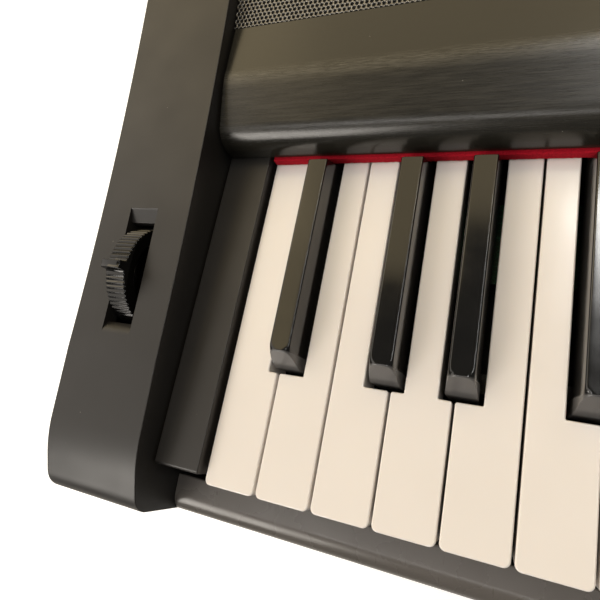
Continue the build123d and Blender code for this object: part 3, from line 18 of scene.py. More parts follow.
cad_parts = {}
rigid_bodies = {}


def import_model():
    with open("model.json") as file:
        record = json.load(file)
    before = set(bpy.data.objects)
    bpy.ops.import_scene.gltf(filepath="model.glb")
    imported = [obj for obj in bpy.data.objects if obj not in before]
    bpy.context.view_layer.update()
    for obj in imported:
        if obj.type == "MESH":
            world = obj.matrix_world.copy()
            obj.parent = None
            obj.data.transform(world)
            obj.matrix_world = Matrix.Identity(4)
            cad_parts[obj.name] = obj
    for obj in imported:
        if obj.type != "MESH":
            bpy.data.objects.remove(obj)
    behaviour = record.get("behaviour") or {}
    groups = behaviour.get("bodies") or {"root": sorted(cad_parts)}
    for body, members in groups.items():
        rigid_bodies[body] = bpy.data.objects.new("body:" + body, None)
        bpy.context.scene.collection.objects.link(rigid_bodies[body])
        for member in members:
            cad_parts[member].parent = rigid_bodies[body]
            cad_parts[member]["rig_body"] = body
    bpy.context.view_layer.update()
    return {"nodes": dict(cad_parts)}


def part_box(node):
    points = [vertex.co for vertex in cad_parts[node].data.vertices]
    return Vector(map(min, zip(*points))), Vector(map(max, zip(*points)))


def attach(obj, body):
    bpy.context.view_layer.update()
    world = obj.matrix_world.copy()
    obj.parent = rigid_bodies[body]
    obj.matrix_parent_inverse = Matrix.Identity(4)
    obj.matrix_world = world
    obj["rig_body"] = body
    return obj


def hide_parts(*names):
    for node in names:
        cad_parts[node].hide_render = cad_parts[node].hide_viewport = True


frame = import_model()

bl_info = {
    "name": "Digital piano on stand",
    "version": (1, 0, 0),
    "blender": (4, 5, 0),
    "location": "3D View > Sidebar > Piano",
    "description": "Builds the pieces and finishes of a digital piano on its stand",
    "category": "Add Mesh",
}

MM = 0.001
LOWEST_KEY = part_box("key_a0")
KEY_GAP = 1.0
ORIGIN = Vector((LOWEST_KEY[0].x - KEY_GAP / 2 * MM, LOWEST_KEY[0].y, LOWEST_KEY[1].z))
KEYS = Matrix.Translation(ORIGIN) @ Matrix.Scale(MM, 4)
FLOOR = Matrix.Scale(MM, 4)
BODY = "case_and_stand"

# measures that the pieces share with the frame, in millimetres
WHITE_COUNT = 52
WHITE_PITCH = 23.5
SPAN = WHITE_COUNT * WHITE_PITCH
MIDDLE = SPAN / 2
WALL_X = -23.5
CHEEK_WIDTH = 51.0
LEFT_X = WALL_X - CHEEK_WIDTH
REAR_Y = 428.0
NOSE_Y = -17.0
SPLIT_Z = -62.0  # where the upper case meets the lower
SHELF_Z = 49.5
PIVOT = (200.0, -10.0)
DECK_SLOPE = radians(10.5)
DECK_START = (205.3, 27.9)
DECK_LENGTH = 96.3
DECK_END = (
    DECK_START[0] + DECK_LENGTH * cos(DECK_SLOPE),
    DECK_START[1] + DECK_LENGTH * sin(DECK_SLOPE),
)
DECK_MIDDLE = (MIDDLE, (DECK_START[0] + DECK_END[0]) / 2, (DECK_START[1] + DECK_END[1]) / 2)
DECK = Matrix.Translation(DECK_MIDDLE) @ Matrix.Rotation(DECK_SLOPE, 4, "X")
GRILLE_SIZE = (230.0, 72.0)
PANEL_HALF = SPAN / 2 + 23.0
GRILLE_X = PANEL_HALF - GRILLE_SIZE[0] / 2
GRILLE_Y = -DECK_LENGTH / 2 + 0.4 + GRILLE_SIZE[1] / 2


# ---- outlines -------------------------------------------------------------------------------
def rounded(corners, steps=6):
    """A closed outline from (u, v, radius) corners, each rounded by its radius."""
    out = []
    count = len(corners)
    for i, (u, v, radius) in enumerate(corners):
        here = Vector((u, v))
        if radius <= 0:
            out.append(here)
            continue
        back = (Vector(corners[i - 1][:2]) - here).normalized()
        ahead = (Vector(corners[(i + 1) % count][:2]) - here).normalized()
        half = back.angle(ahead) / 2
        centre = here + (back + ahead).normalized() * radius / sin(half)
        start = here + back * radius / tan(half) - centre
        end = here + ahead * radius / tan(half) - centre
        sweep = atan2(start.cross(end), start.dot(end))
        for k in range(steps + 1):
            out.append(centre + Matrix.Rotation(sweep * k / steps, 2) @ start)
    return out


def anticlockwise(loop):
    """The outline itself, or its reverse where it runs clockwise."""
    area = sum(a.cross(b) for a, b in zip(loop, loop[1:] + loop[:1]))
    return loop if area > 0 else loop[::-1]


def inset(loop, amount):
    """An anticlockwise outline moved inwards by one amount, or by one for each point."""
    out = []
    count = len(loop)
    for i, point in enumerate(loop):
        before = (point - loop[i - 1]).normalized()
        after = (loop[(i + 1) % count] - point).normalized()
        first = Vector((-before.y, before.x))
        both = first + Vector((-after.y, after.x))
        both.normalize()
        step = amount[i] if isinstance(amount, list) else amount
        out.append(point + both * step / max(both.dot(first), 0.35))
    return out


def rectangle(width, depth, radius, x=0.0, y=0.0, steps=4):
    w = width / 2
    d = depth / 2
    corners = ((x - w, y - d), (x + w, y - d), (x + w, y + d), (x - w, y + d))
    return rounded([(u, v, radius) for u, v in corners], steps)


def arc(steps, turn=pi / 2):
    """(cosine, sine) of each angle from 0 to a turn."""
    return [(cos(turn * k / steps), sin(turn * k / steps)) for k in range(steps + 1)]


def whole_turn(steps):
    """(cosine, sine) of each step round a circle."""
    return arc(steps, 2 * pi)[:-1]


def circle(radius, steps=48, u=0.0, v=0.0):
    return [Vector((u + radius * c, v + radius * s)) for c, s in whole_turn(steps)]


# ---- solids as (points, faces) --------------------------------------------------------------
def flat(u, v, w):
    return (u, v, w)


def sideways(u, v, w):
    """An outline drawn in Y and Z, extruded along X."""
    return (w, u, v)


def lengthways(u, v, w):
    """An outline drawn in X and Z, extruded along Y."""
    return (u, w, v)


def skin(rings, closed=False):
    """Joins rings of equal count into a solid with flat ends, or into a closed ring."""
    count = len(rings[0])
    points = [point for ring in rings for point in ring]
    faces = []
    last = len(rings) if closed else len(rings) - 1
    for r in range(last):
        here = r * count
        there = (r + 1) % len(rings) * count
        for i in range(count):
            j = (i + 1) % count
            faces.append((here + i, here + j, there + j, there + i))
    if not closed:
        faces.append(tuple(range(count))[::-1])
        faces.append(tuple(range(len(points) - count, len(points))))
    return points, faces


def plate(loop, low, high, low_r=0.0, high_r=0.0, axis=flat, steps=3, weights=None):
    """An outline extruded from low to high, with rounded rims."""
    loop = anticlockwise(list(loop))
    low_arc = arc(steps)[: steps + 1 if low_r else 1]
    high_arc = arc(steps)[: steps + 1 if high_r else 1]
    levels = [(low_r * (1 - s), low + low_r * (1 - c)) for c, s in low_arc]
    levels += [(high_r * (1 - c), high - high_r * (1 - s)) for c, s in high_arc]
    rings = []
    for move, height in levels:
        amount = [move * w for w in weights] if weights else move
        rings.append([axis(p.x, p.y, height) for p in inset(loop, amount)])
    return skin(rings)


def box(x0, x1, y0, y1, z0, z1, rim=0.0):
    loop = [Vector((x0, y0)), Vector((x1, y0)), Vector((x1, y1)), Vector((x0, y1))]
    return plate(loop, z0, z1, rim, rim)


def moved(shape, matrix):
    points, faces = shape
    return [tuple(matrix @ Vector(p)) for p in points], faces


def mirrored(shape, width=SPAN):
    """A shape's mirror image across the middle of a width, which is 0 in the stand's frame."""
    points, faces = shape
    return [(width - x, y, z) for x, y, z in points], [face[::-1] for face in faces]


def joined(*shapes):
    points = []
    faces = []
    for more_points, more_faces in shapes:
        start = len(points)
        points += list(more_points)
        faces += [tuple(start + i for i in face) for face in more_faces]
    return points, faces


# ---- pieces ---------------------------------------------------------------------------------
CREASE = 32.0  # degrees; edges sharper than this stay sharp


@contextmanager
def editing(mesh):
    """Opens a mesh for editing and writes it back."""
    bm = bmesh.new()
    bm.from_mesh(mesh)
    yield bm
    bm.to_mesh(mesh)
    bm.free()


def mesh_object(name, shape, place=KEYS):
    points, faces = shape
    mesh = bpy.data.meshes.new(name)
    mesh.from_pydata([place @ Vector(p) for p in points], [], faces)
    obj = bpy.data.objects.new(name, mesh)
    bpy.context.scene.collection.objects.link(obj)
    with editing(mesh) as bm:
        bmesh.ops.recalc_face_normals(bm, faces=bm.faces)
    return obj


def smooth(obj, angle):
    """Shades smooth, with a crease at every edge sharper than the angle."""
    with editing(obj.data) as bm:
        for face in bm.faces:
            face.smooth = True
        for edge in bm.edges:
            edge.smooth = edge.is_boundary or edge.calc_face_angle(0.0) < radians(angle)


def combine(obj, other, operation):
    """Joins a piece with another, cuts the other out, or keeps what both hold."""
    change = obj.modifiers.new("change", "BOOLEAN")
    change.operation = operation
    change.solver = "EXACT"
    change.object = other
    settle(obj)
    bpy.data.objects.remove(other)


def carve(obj, cutters, place=KEYS):
    """Cuts shapes out of a piece."""
    for shape in cutters:
        combine(obj, mesh_object("cutter", shape, place), "DIFFERENCE")


def score(obj, cuts):
    """Splits a piece's faces at planes, each a point and a normal, so that no face holds a hole."""
    with editing(obj.data) as bm:
        for point, normal in cuts:
            everything = bm.verts[:] + bm.edges[:] + bm.faces[:]
            bmesh.ops.bisect_plane(bm, geom=everything, plane_co=point, plane_no=normal)


def settle(obj):
    """Makes a piece's modifiers part of its mesh."""
    evaluated = obj.evaluated_get(bpy.context.evaluated_depsgraph_get())
    mesh = bpy.data.meshes.new_from_object(evaluated)
    obj.modifiers.clear()
    old = obj.data
    obj.data = mesh
    bpy.data.meshes.remove(old)


def soften(obj, width, angle):
    """Rounds every edge sharper than the angle."""
    change = obj.modifiers.new("edge", "BEVEL")
    change.width = width * MM
    change.segments = 2
    change.limit_method = "ANGLE"
    change.angle_limit = radians(angle)


def finish_piece(obj, material, body, nodes=(), angle=CREASE):
    """Shades a piece, gives it its material and says what it rides on and stands for."""
    smooth(obj, angle)
    obj.data.materials.clear()
    obj.data.materials.append(material)
    even = obj.modifiers.new("even", "WEIGHTED_NORMAL")
    even.keep_sharp = True
    even.weight = 100
    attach(obj, body)
    if nodes:
        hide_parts(*nodes)


def body_of(node):
    return frame["nodes"][node]["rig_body"]


def finish_cover(obj, node, material, angle=CREASE):
    """Finishes a piece that stands for a CAD node."""
    finish_piece(obj, material, body_of(node), [node], angle)


def dress(node, shape, material, place=KEYS, angle=CREASE):
    """Makes the piece that stands for a CAD node."""
    finish_cover(mesh_object(f"{node}_cover", shape, place), node, material, angle)


def round_shading(angle):
    """Geometry nodes that shade smooth and keep a crease at every edge sharper than the angle."""
    name = f"round shading {angle:.0f}"
    if name in bpy.data.node_groups:
        return bpy.data.node_groups[name]
    group = bpy.data.node_groups.new(name, "GeometryNodeTree")
    group.interface.new_socket("Geometry", in_out="INPUT", socket_type="NodeSocketGeometry")
    group.interface.new_socket("Geometry", in_out="OUTPUT", socket_type="NodeSocketGeometry")
    nodes, links = group.nodes, group.links
    start, end = nodes.new("NodeGroupInput"), nodes.new("NodeGroupOutput")
    faces = nodes.new("GeometryNodeSetShadeSmooth")
    edges = nodes.new("GeometryNodeSetShadeSmooth")
    faces.domain, edges.domain = "FACE", "EDGE"
    turn = nodes.new("GeometryNodeInputMeshEdgeAngle")
    gentle = nodes.new("FunctionNodeCompare")
    gentle.data_type, gentle.operation = "FLOAT", "LESS_THAN"
    gentle.inputs["B"].default_value = radians(angle)
    links.new(turn.outputs["Unsigned Angle"], gentle.inputs["A"])
    links.new(start.outputs[0], faces.inputs["Geometry"])
    links.new(faces.outputs["Geometry"], edges.inputs["Geometry"])
    links.new(gentle.outputs["Result"], edges.inputs["Shade Smooth"])
    links.new(edges.outputs["Geometry"], end.inputs[0])
    return group


def repaint(node, material, angle=30.0):
    """Gives a CAD node its finish, with smooth shading on its round faces."""
    obj = frame["nodes"][node]
    for slot in obj.material_slots:
        slot.material = material
    if not obj.material_slots:
        obj.data.materials.append(material)
    shading = obj.modifiers.new("round shading", "NODES")
    shading.node_group = round_shading(angle)


# ---- finishes -------------------------------------------------------------------------------
def opaque(colour):
    return (*colour[:3], 1.0)


class Finish:
    """A procedural material, built node by node round one Principled shader."""

    def __init__(self, name):
        self.material = bpy.data.materials.new(name)
        self.material.use_nodes = True
        self.tree = self.material.node_tree
        self.shader = self.tree.nodes["Principled BSDF"]
        self.place = self.tree.nodes.new("ShaderNodeTexCoord").outputs["Object"]
        self.height = None

    def node(self, kind, inputs=None, **settings):
        made = self.tree.nodes.new(kind)
        for key, value in settings.items():
            setattr(made, key, value)
        for key, value in (inputs or {}).items():
            self.feed(made.inputs[key], value)
        return made

    def feed(self, socket, value):
        """Links a value that another node makes, or writes a plain one."""
        if isinstance(value, bpy.types.NodeSocket):
            self.tree.links.new(value, socket)
        elif socket.type == "RGBA":
            socket.default_value = opaque(value)
        else:
            socket.default_value = value

    def stretched(self, scale):
        """Object coordinates, stretched by a scale along each axis."""
        if not scale:
            return self.place
        inputs = {"Vector": self.place, "Scale": scale}
        return self.node("ShaderNodeMapping", inputs).outputs["Vector"]

    def noise(self, scale, detail=3.0, stretch=None, roughness=0.5):
        vector = self.stretched(stretch)
        inputs = {"Vector": vector, "Scale": scale, "Detail": detail, "Roughness": roughness}
        return self.node("ShaderNodeTexNoise", inputs).outputs["Fac"]

    def cells(self, scale, stretch=None, feature="F1"):
        vector = self.stretched(stretch)
        inputs = {"Vector": vector, "Scale": scale}
        return self.node("ShaderNodeTexVoronoi", inputs, feature=feature).outputs["Distance"]

    def ramp(self, value, low, high, dark=0.0, light=1.0):
        inputs = dict(enumerate((value, low, high, dark, light)))
        return self.node("ShaderNodeMapRange", inputs, clamp=True).outputs["Result"]

    def uneven(self, scale, detail, low, high):
        """A value that wanders between two limits over the surface."""
        return self.ramp(self.noise(scale, detail), 0.3, 0.7, low, high)

    def clouded(self, scale, detail, colour, dark, light):
        """A colour that drifts between a darker and a lighter share of itself."""
        drift = self.ramp(self.noise(scale, detail), 0.3, 0.7)
        return self.blend(drift, shade(colour, dark), shade(colour, light))

    def specks(self, scale, size, patch_scale, patch):
        """Sparse dots, kept only in patches."""
        dot = self.ramp(self.cells(scale), *size)
        return self.math("MULTIPLY", dot, self.ramp(self.noise(patch_scale, 1.0), *patch))

    def math(self, operation, first, second=0.0):
        node = self.node("ShaderNodeMath", {0: first, 1: second}, operation=operation)
        return node.outputs["Value"]

    def blend(self, factor, first, second):
        """A mix of two colours; the numbers are those of the node's colour sockets."""
        inputs = {0: factor, 6: first, 7: second}
        return self.node("ShaderNodeMix", inputs, data_type="RGBA").outputs[2]

    def axis(self, name):
        """One of the object coordinates."""
        split = self.node("ShaderNodeSeparateXYZ", {"Vector": self.place})
        return split.outputs[name]

    def set(self, **values):
        for key, value in values.items():
            self.feed(self.shader.inputs[key.replace("_", " ")], value)

    def bump(self, value, distance, strength=1.0):
        """Adds relief of a height in millimetres."""
        inputs = {"Height": value, "Distance": distance * MM, "Strength": strength}
        if self.height is not None:
            inputs["Normal"] = self.height
        self.height = self.node("ShaderNodeBump", inputs).outputs["Normal"]
        self.feed(self.shader.inputs["Normal"], self.height)


def shade(colour, amount):
    return tuple(max(0.0, min(1.0, c * amount)) for c in colour[:3])


def dust(make, colour, base):
    """Sparse pale specks of dust over a base colour."""
    return make.blend(make.specks(230.0, (0.035, 0.02), 90.0, (0.60, 0.66)), base, colour)


def satin_plastic(name, colour, roughness=0.42, grain=1.0, specks=True):
    """Moulded plastic with a fine spark-eroded texture."""
    make = Finish(name)
    tone = make.clouded(9.0, 4.0, colour, 0.86, 1.12)
    if specks:
        tone = dust(make, (0.42, 0.40, 0.36), tone)
    rough = make.ramp(make.noise(42.0, 5.0), 0.25, 0.75, roughness - 0.05, roughness + 0.06)
    scratch = make.noise(30.0, 2.0, stretch=(60.0, 3.0, 8.0))
    rough = make.math("SUBTRACT", rough, make.ramp(scratch, 0.70, 0.76, 0.0, 0.08))
    make.set(Base_Color=tone, Roughness=rough, IOR=1.5)
    make.bump(make.noise(2600.0, 2.0), 0.010 * grain)
    make.bump(make.noise(520.0, 3.0), 0.006 * grain, 0.6)
    return make.material


def plain_plastic(name, colour, roughness, grain=1.0):
    """The same plastic where no dust shows."""
    return satin_plastic(name, colour, roughness, grain, specks=False)


def grained_panel(name, colour):
    """Satin plastic drawn along its length, with streaks that are strongest under the bend; over
    the lip and slope the streaks are painted lighter as a highlight, and a painted highlight runs
    along the bend.
    """
    make = Finish(name)
    tone = make.clouded(6.0, 4.0, colour, 0.9, 1.12)
    depth = make.axis("Y")

    def fade(start, end, dark=0.0):
        """A ramp over the panel's depth, given in metres behind the keys' front edge."""
        return make.ramp(depth, ORIGIN.y + start, ORIGIN.y + end, dark)

    mask = make.math("MULTIPLY", fade(0.1825, 0.1775, 0.10), fade(0.1500, 0.1560, 0.25))
    # the narrow band along the bend where a highlight is painted
    crease = make.math("MULTIPLY", fade(0.1830, 0.1795), fade(0.1740, 0.1775))
    streak = make.noise(1.0, 3.0, stretch=(55.0, 950.0, 950.0), roughness=0.6)
    broad = make.noise(1.0, 2.0, stretch=(22.0, 330.0, 330.0), roughness=0.6)
    hair = make.noise(1.0, 2.0, stretch=(130.0, 3000.0, 3000.0), roughness=0.7)
    # streaks over the lip and slope: real brushed grain, with their lighter colour a painted
    # highlight
    lines = make.math("MULTIPLY", make.ramp(streak, 0.40, 0.68), mask)
    tone = make.blend(make.math("MULTIPLY", lines, 0.6), tone, shade(colour, 2.6))
    # a painted highlight in fine streaks along the bend
    painted_bend_highlight = make.math("MULTIPLY", make.ramp(hair, 0.42, 0.62), crease)
    tone = make.blend(make.math("MULTIPLY", painted_bend_highlight, 0.8), tone, shade(colour, 5.0))
    tone = dust(make, (0.45, 0.43, 0.40), tone)
    rough = make.ramp(hair, 0.3, 0.7, 0.17, 0.25)
    rough = make.math("ADD", rough, make.math("MULTIPLY", mask, 0.08))
    make.set(Base_Color=tone, Roughness=rough, IOR=1.52)
    make.bump(make.math("MULTIPLY", streak, mask), 0.035)
    make.bump(make.math("MULTIPLY", broad, mask), 0.060)
    make.bump(hair, 0.004)
    make.bump(make.noise(1900.0, 2.0), 0.003)
    return make.material


def key_white(name, colour):
    """Polished cream plastic, a little translucent, with a trace of handling."""
    make = Finish(name)
    marks = make.specks(150.0, (0.030, 0.018), 70.0, (0.63, 0.68))
    tone = make.clouded(14.0, 3.0, colour, 0.975, 1.015)
    tone = make.blend(marks, tone, shade(colour, 0.35))
    rough = make.uneven(55.0, 5.0, 0.16, 0.24)
    make.set(
        Base_Color=tone,
        Roughness=rough,
        IOR=1.49,
        Subsurface_Weight=0.12,
        Subsurface_Radius=Vector((1.0, 0.8, 0.6)),
        Subsurface_Scale=0.0015,
        Coat_Weight=0.25,
        Coat_Roughness=0.12,
    )
    make.bump(make.noise(160.0, 2.0), 0.006, 0.7)
    return make.material


def key_black(name, colour):
    """Black plastic with a silk polish, worn smoother on top, and a painted reflection that
    lightens the shield in front.
    """
    make = Finish(name)
    tone = dust(make, (0.30, 0.28, 0.24), make.clouded(20.0, 3.0, colour, 0.8, 1.2))
    # the shield in front is painted light grey, a painted reflection of the white key heads before
    # it, and is given a rougher finish
    front = make.ramp(make.axis("Y"), ORIGIN.y + 0.0580, ORIGIN.y + 0.0572)
    tone = make.blend(front, tone, (0.082, 0.080, 0.080))
    rough = make.uneven(90.0, 5.0, 0.10, 0.16)
    rough = make.math("ADD", rough, make.math("MULTIPLY", front, 0.22))
    make.set(Base_Color=tone, Roughness=rough, IOR=1.6)
    make.bump(make.noise(1400.0, 2.0), 0.002)
    return make.material


def wool_felt(name, colour):
    """Pressed wool: fibres lying in every direction over a soft lumpy body."""
    make = Finish(name)
    fibre = make.noise(1500.0, 6.0, roughness=0.75)
    strand = make.noise(1.0, 4.0, stretch=(700.0, 2600.0, 1600.0), roughness=0.7)
    lump = make.noise(260.0, 3.0)
    tone = make.blend(make.ramp(fibre, 0.3, 0.7), shade(colour, 0.45), shade(colour, 1.2))
    tone = make.blend(make.ramp(strand, 0.66, 0.82), tone, shade(colour, 1.5))
    make.set(Base_Color=tone, Roughness=0.95, Sheen_Weight=0.10, Sheen_Roughness=0.5)
    make.set(Sheen_Tint=shade(colour, 1.4), Specular_IOR_Level=0.15)
    make.bump(lump, 0.25, 0.8)
    make.bump(fibre, 0.12)
    return make.material


def wheel_plastic(name, colour):
    """Glossy black plastic with a faint haze."""
    make = Finish(name)
    tone = dust(make, (0.35, 0.34, 0.32), make.clouded(80.0, 3.0, colour, 0.8, 1.25))
    rough = make.uneven(300.0, 4.0, 0.06, 0.12)
    make.set(Base_Color=tone, Roughness=rough, IOR=1.46)
    make.bump(make.noise(900.0, 3.0), 0.003)
    return make.material


def enamelled_steel(name, colour, roughness=0.35, metallic=0.0):
    """Coated sheet with a slight orange peel."""
    make = Finish(name)
    tone = make.clouded(70.0, 3.0, colour, 0.85, 1.2)
    rough = make.uneven(400.0, 3.0, roughness - 0.06, roughness + 0.08)
    make.set(Base_Color=tone, Roughness=rough, IOR=1.55, Coat_Weight=0.3, Coat_Roughness=0.25)
    make.set(Metallic=metallic)
    make.bump(make.noise(900.0, 2.0), 0.010)
    return make.material


def plated_steel(name, colour, roughness=0.3):
    """Zinc-plated steel with drawn lines and a clouded lustre."""
    make = Finish(name)
    tone = make.clouded(240.0, 4.0, colour, 0.8, 1.1)
    drawn = make.noise(1.0, 2.0, stretch=(90.0, 2600.0, 2600.0))
    rough = make.ramp(drawn, 0.3, 0.7, roughness - 0.08, roughness + 0.10)
    make.set(Base_Color=tone, Roughness=rough, Metallic=1.0)
    make.bump(drawn, 0.006)
    return make.material


def laminate(name, colour, along):
    """Black wood-grain foil over board: long pores pressed along one axis."""
    make = Finish(name)
    fine = [9.0 if axis == along else 420.0 for axis in "XYZ"]
    wide = [1.6 if axis == along else 38.0 for axis in "XYZ"]
    pore = make.noise(1.0, 3.0, stretch=fine, roughness=0.65)
    figure = make.noise(1.0, 4.0, stretch=wide)
    tone = make.blend(make.ramp(figure, 0.3, 0.7), shade(colour, 0.75), shade(colour, 1.35))
    tone = make.blend(make.ramp(pore, 0.58, 0.66), tone, shade(colour, 0.45))
    rough = make.ramp(pore, 0.35, 0.65, 0.40, 0.55)
    make.set(Base_Color=tone, Roughness=rough, IOR=1.5)
    make.bump(make.ramp(pore, 0.66, 0.55), 0.05)
    make.bump(figure, 0.05, 0.5)
    return make.material


def circuit_board(name, colour):
    """Green solder resist over copper tracks."""
    make = Finish(name)
    track = make.cells(260.0, stretch=(1.0, 1.6, 1.0), feature="DISTANCE_TO_EDGE")
    line = make.ramp(track, 0.05, 0.07, 1.0, 0.0)
    tone = make.blend(line, colour, shade(colour, 1.9))
    pad = make.ramp(make.cells(300.0), 0.10, 0.08)
    tone = make.blend(pad, tone, (0.62, 0.60, 0.55))
    make.set(Base_Color=tone, Roughness=0.32, IOR=1.5)
    make.bump(line, 0.03)
    return make.material


def moulded_rubber(name, colour):
    """Dull rubber with a fine uneven skin."""
    make = Finish(name)
    tone = make.clouded(120.0, 4.0, colour, 0.75, 1.2)
    rough = make.uneven(500.0, 3.0, 0.65, 0.85)
    make.set(Base_Color=tone, Roughness=rough)
    make.bump(make.noise(1300.0, 3.0), 0.02)
    return make.material


def smoked_window(name, colour):
    """A dark clear pane with a faint grid of display cells behind it."""
    make = Finish(name)
    grid = make.node(
        "ShaderNodeTexBrick",
        {
            "Vector": make.stretched((260.0, 260.0, 260.0)),
            "Scale": 1.0,
            "Mortar Size": 0.04,
            "Color1": shade(colour, 1.5),
            "Color2": shade(colour, 1.3),
            "Mortar": shade(colour, 0.8),
        },
        offset=0.0,
    )
    haze = make.uneven(25.0, 4.0, 0.05, 0.10)
    make.set(Base_Color=grid.outputs["Color"], Roughness=haze, IOR=1.5)
    make.set(Coat_Weight=1.0, Coat_Roughness=0.03)
    return make.material


# ---- settings -------------------------------------------------------------------------------
def colour(name, text, default):
    return FloatVectorProperty(
        name=name, description=text, default=default, size=3, subtype="COLOR", min=0.0, max=1.0
    )


def length(name, text, default):
    """A size in millimetres."""
    return FloatProperty(name=name, description=text, default=default, min=0.0, unit="CAMERA")


def strength(name, text, default):
    return FloatProperty(name=name, description=text, default=default, min=0.0)


class PianoFinishes(bpy.types.PropertyGroup):
    casing: colour("Casing", "Satin plastic of the case", (0.0125, 0.0112, 0.0100))
    panel: colour("Panel", "Grained plastic of the top panel", (0.0150, 0.0138, 0.0108))
    grille: colour("Grille", "Enamel of the speaker grilles", (0.180, 0.172, 0.155))
    felt: colour("Felt", "Red felt behind the keys", (0.38, 0.006, 0.017))
    white_key: colour("White keys", "Polished white keys", (0.755, 0.708, 0.668))
    black_key: colour("Black keys", "Silk black keys", (0.0045, 0.0043, 0.0040))
    wheel: colour("Wheel", "Bend wheel", (0.0040, 0.0038, 0.0036))
    control: colour("Controls", "Knobs and buttons", (0.022, 0.021, 0.020))
    board: colour("Boards", "Laminate of the stand", (0.030, 0.028, 0.027))


class PianoKeySizes(bpy.types.PropertyGroup):
    head: length("Head length", "White key from its front edge to the notch, in mm", 49.85)
    notch: length("Notch width", "Room for a black key between two tails, in mm", 15.6)
    corner: length("Corner radius", "Front corners of a white key, in mm", 2.3)
    edge: length("Edge radius", "Top rim of a white key, in mm", 0.7)
    height: length("Height", "Thickness of a key, in mm", 18.0)
    black_height: length("Black height", "Height of black keys above the white, in mm", 12.0)
    black_width: length("Black width", "Foot of a black key, in mm", 11.5)
    black_top: length("Black top", "Crown of a black key, in mm", 9.0)
    wall: length("Wall", "Wall thickness under a key, in mm", 2.2)


class PianoWheelSizes(bpy.types.PropertyGroup):
    radius: length("Radius", "Wheel over its ribs, in mm", 24.2)
    width: length("Width", "Rim width, in mm", 10.5)
    ridge: length("Ridge", "Height of the ridge, in mm", 3.8)
    rib_pitch: FloatProperty(
        name="Rib pitch",
        description="Angle between grip ribs",
        default=radians(5.0),
        subtype="ANGLE",
    )
    rib_depth: length("Rib depth", "Depth of the grip ribs, in mm", 0.62)


class PianoGrilleSizes(bpy.types.PropertyGroup):
    pitch: length("Pitch", "Distance between holes, in mm", 2.21)
    hole: length("Hole", "Hole diameter, in mm", 1.66)
    sheet: length("Sheet", "Thickness of the steel, in mm", 1.0)
    rim: length("Rim", "Rounded rim of each hole, in mm", 0.22)
    sides: IntProperty(name="Sides", description="Corners of each hole", default=8, min=6, max=16)


class PianoStageSizes(bpy.types.PropertyGroup):
    floor: colour("Floor", "Plain pale floor", (0.86, 0.86, 0.86))
    window: strength("Window", "Brightness ahead of the bass end", 8.0)
    wall: strength("Wall", "Brightness of the wall behind", 1.2)
    corner: strength("Corner", "Brightness behind the bass end", 1.75)
    side: strength("Side", "Brightness beside the bass end", 1.4)
    ceiling: strength("Ceiling", "Brightness over the front rail", 7.5)
    tube: strength("Tube", "Brightness of the long lamp above", 24.0)
    air: strength("Air", "Even light from all round", 0.10)
    floor_glow: strength("Floor glow", "Lift of the floor", 0.46)
    lens: length("Lens", "Focal length in mm", 29.13)


# ---- stage ----------------------------------------------------------------------------------
# in metres, in the loaded frame
BASS_CORNER = Vector((-0.55, -0.05, 0.72))
FLOOR_REACH = 40.0  # half the floor's width


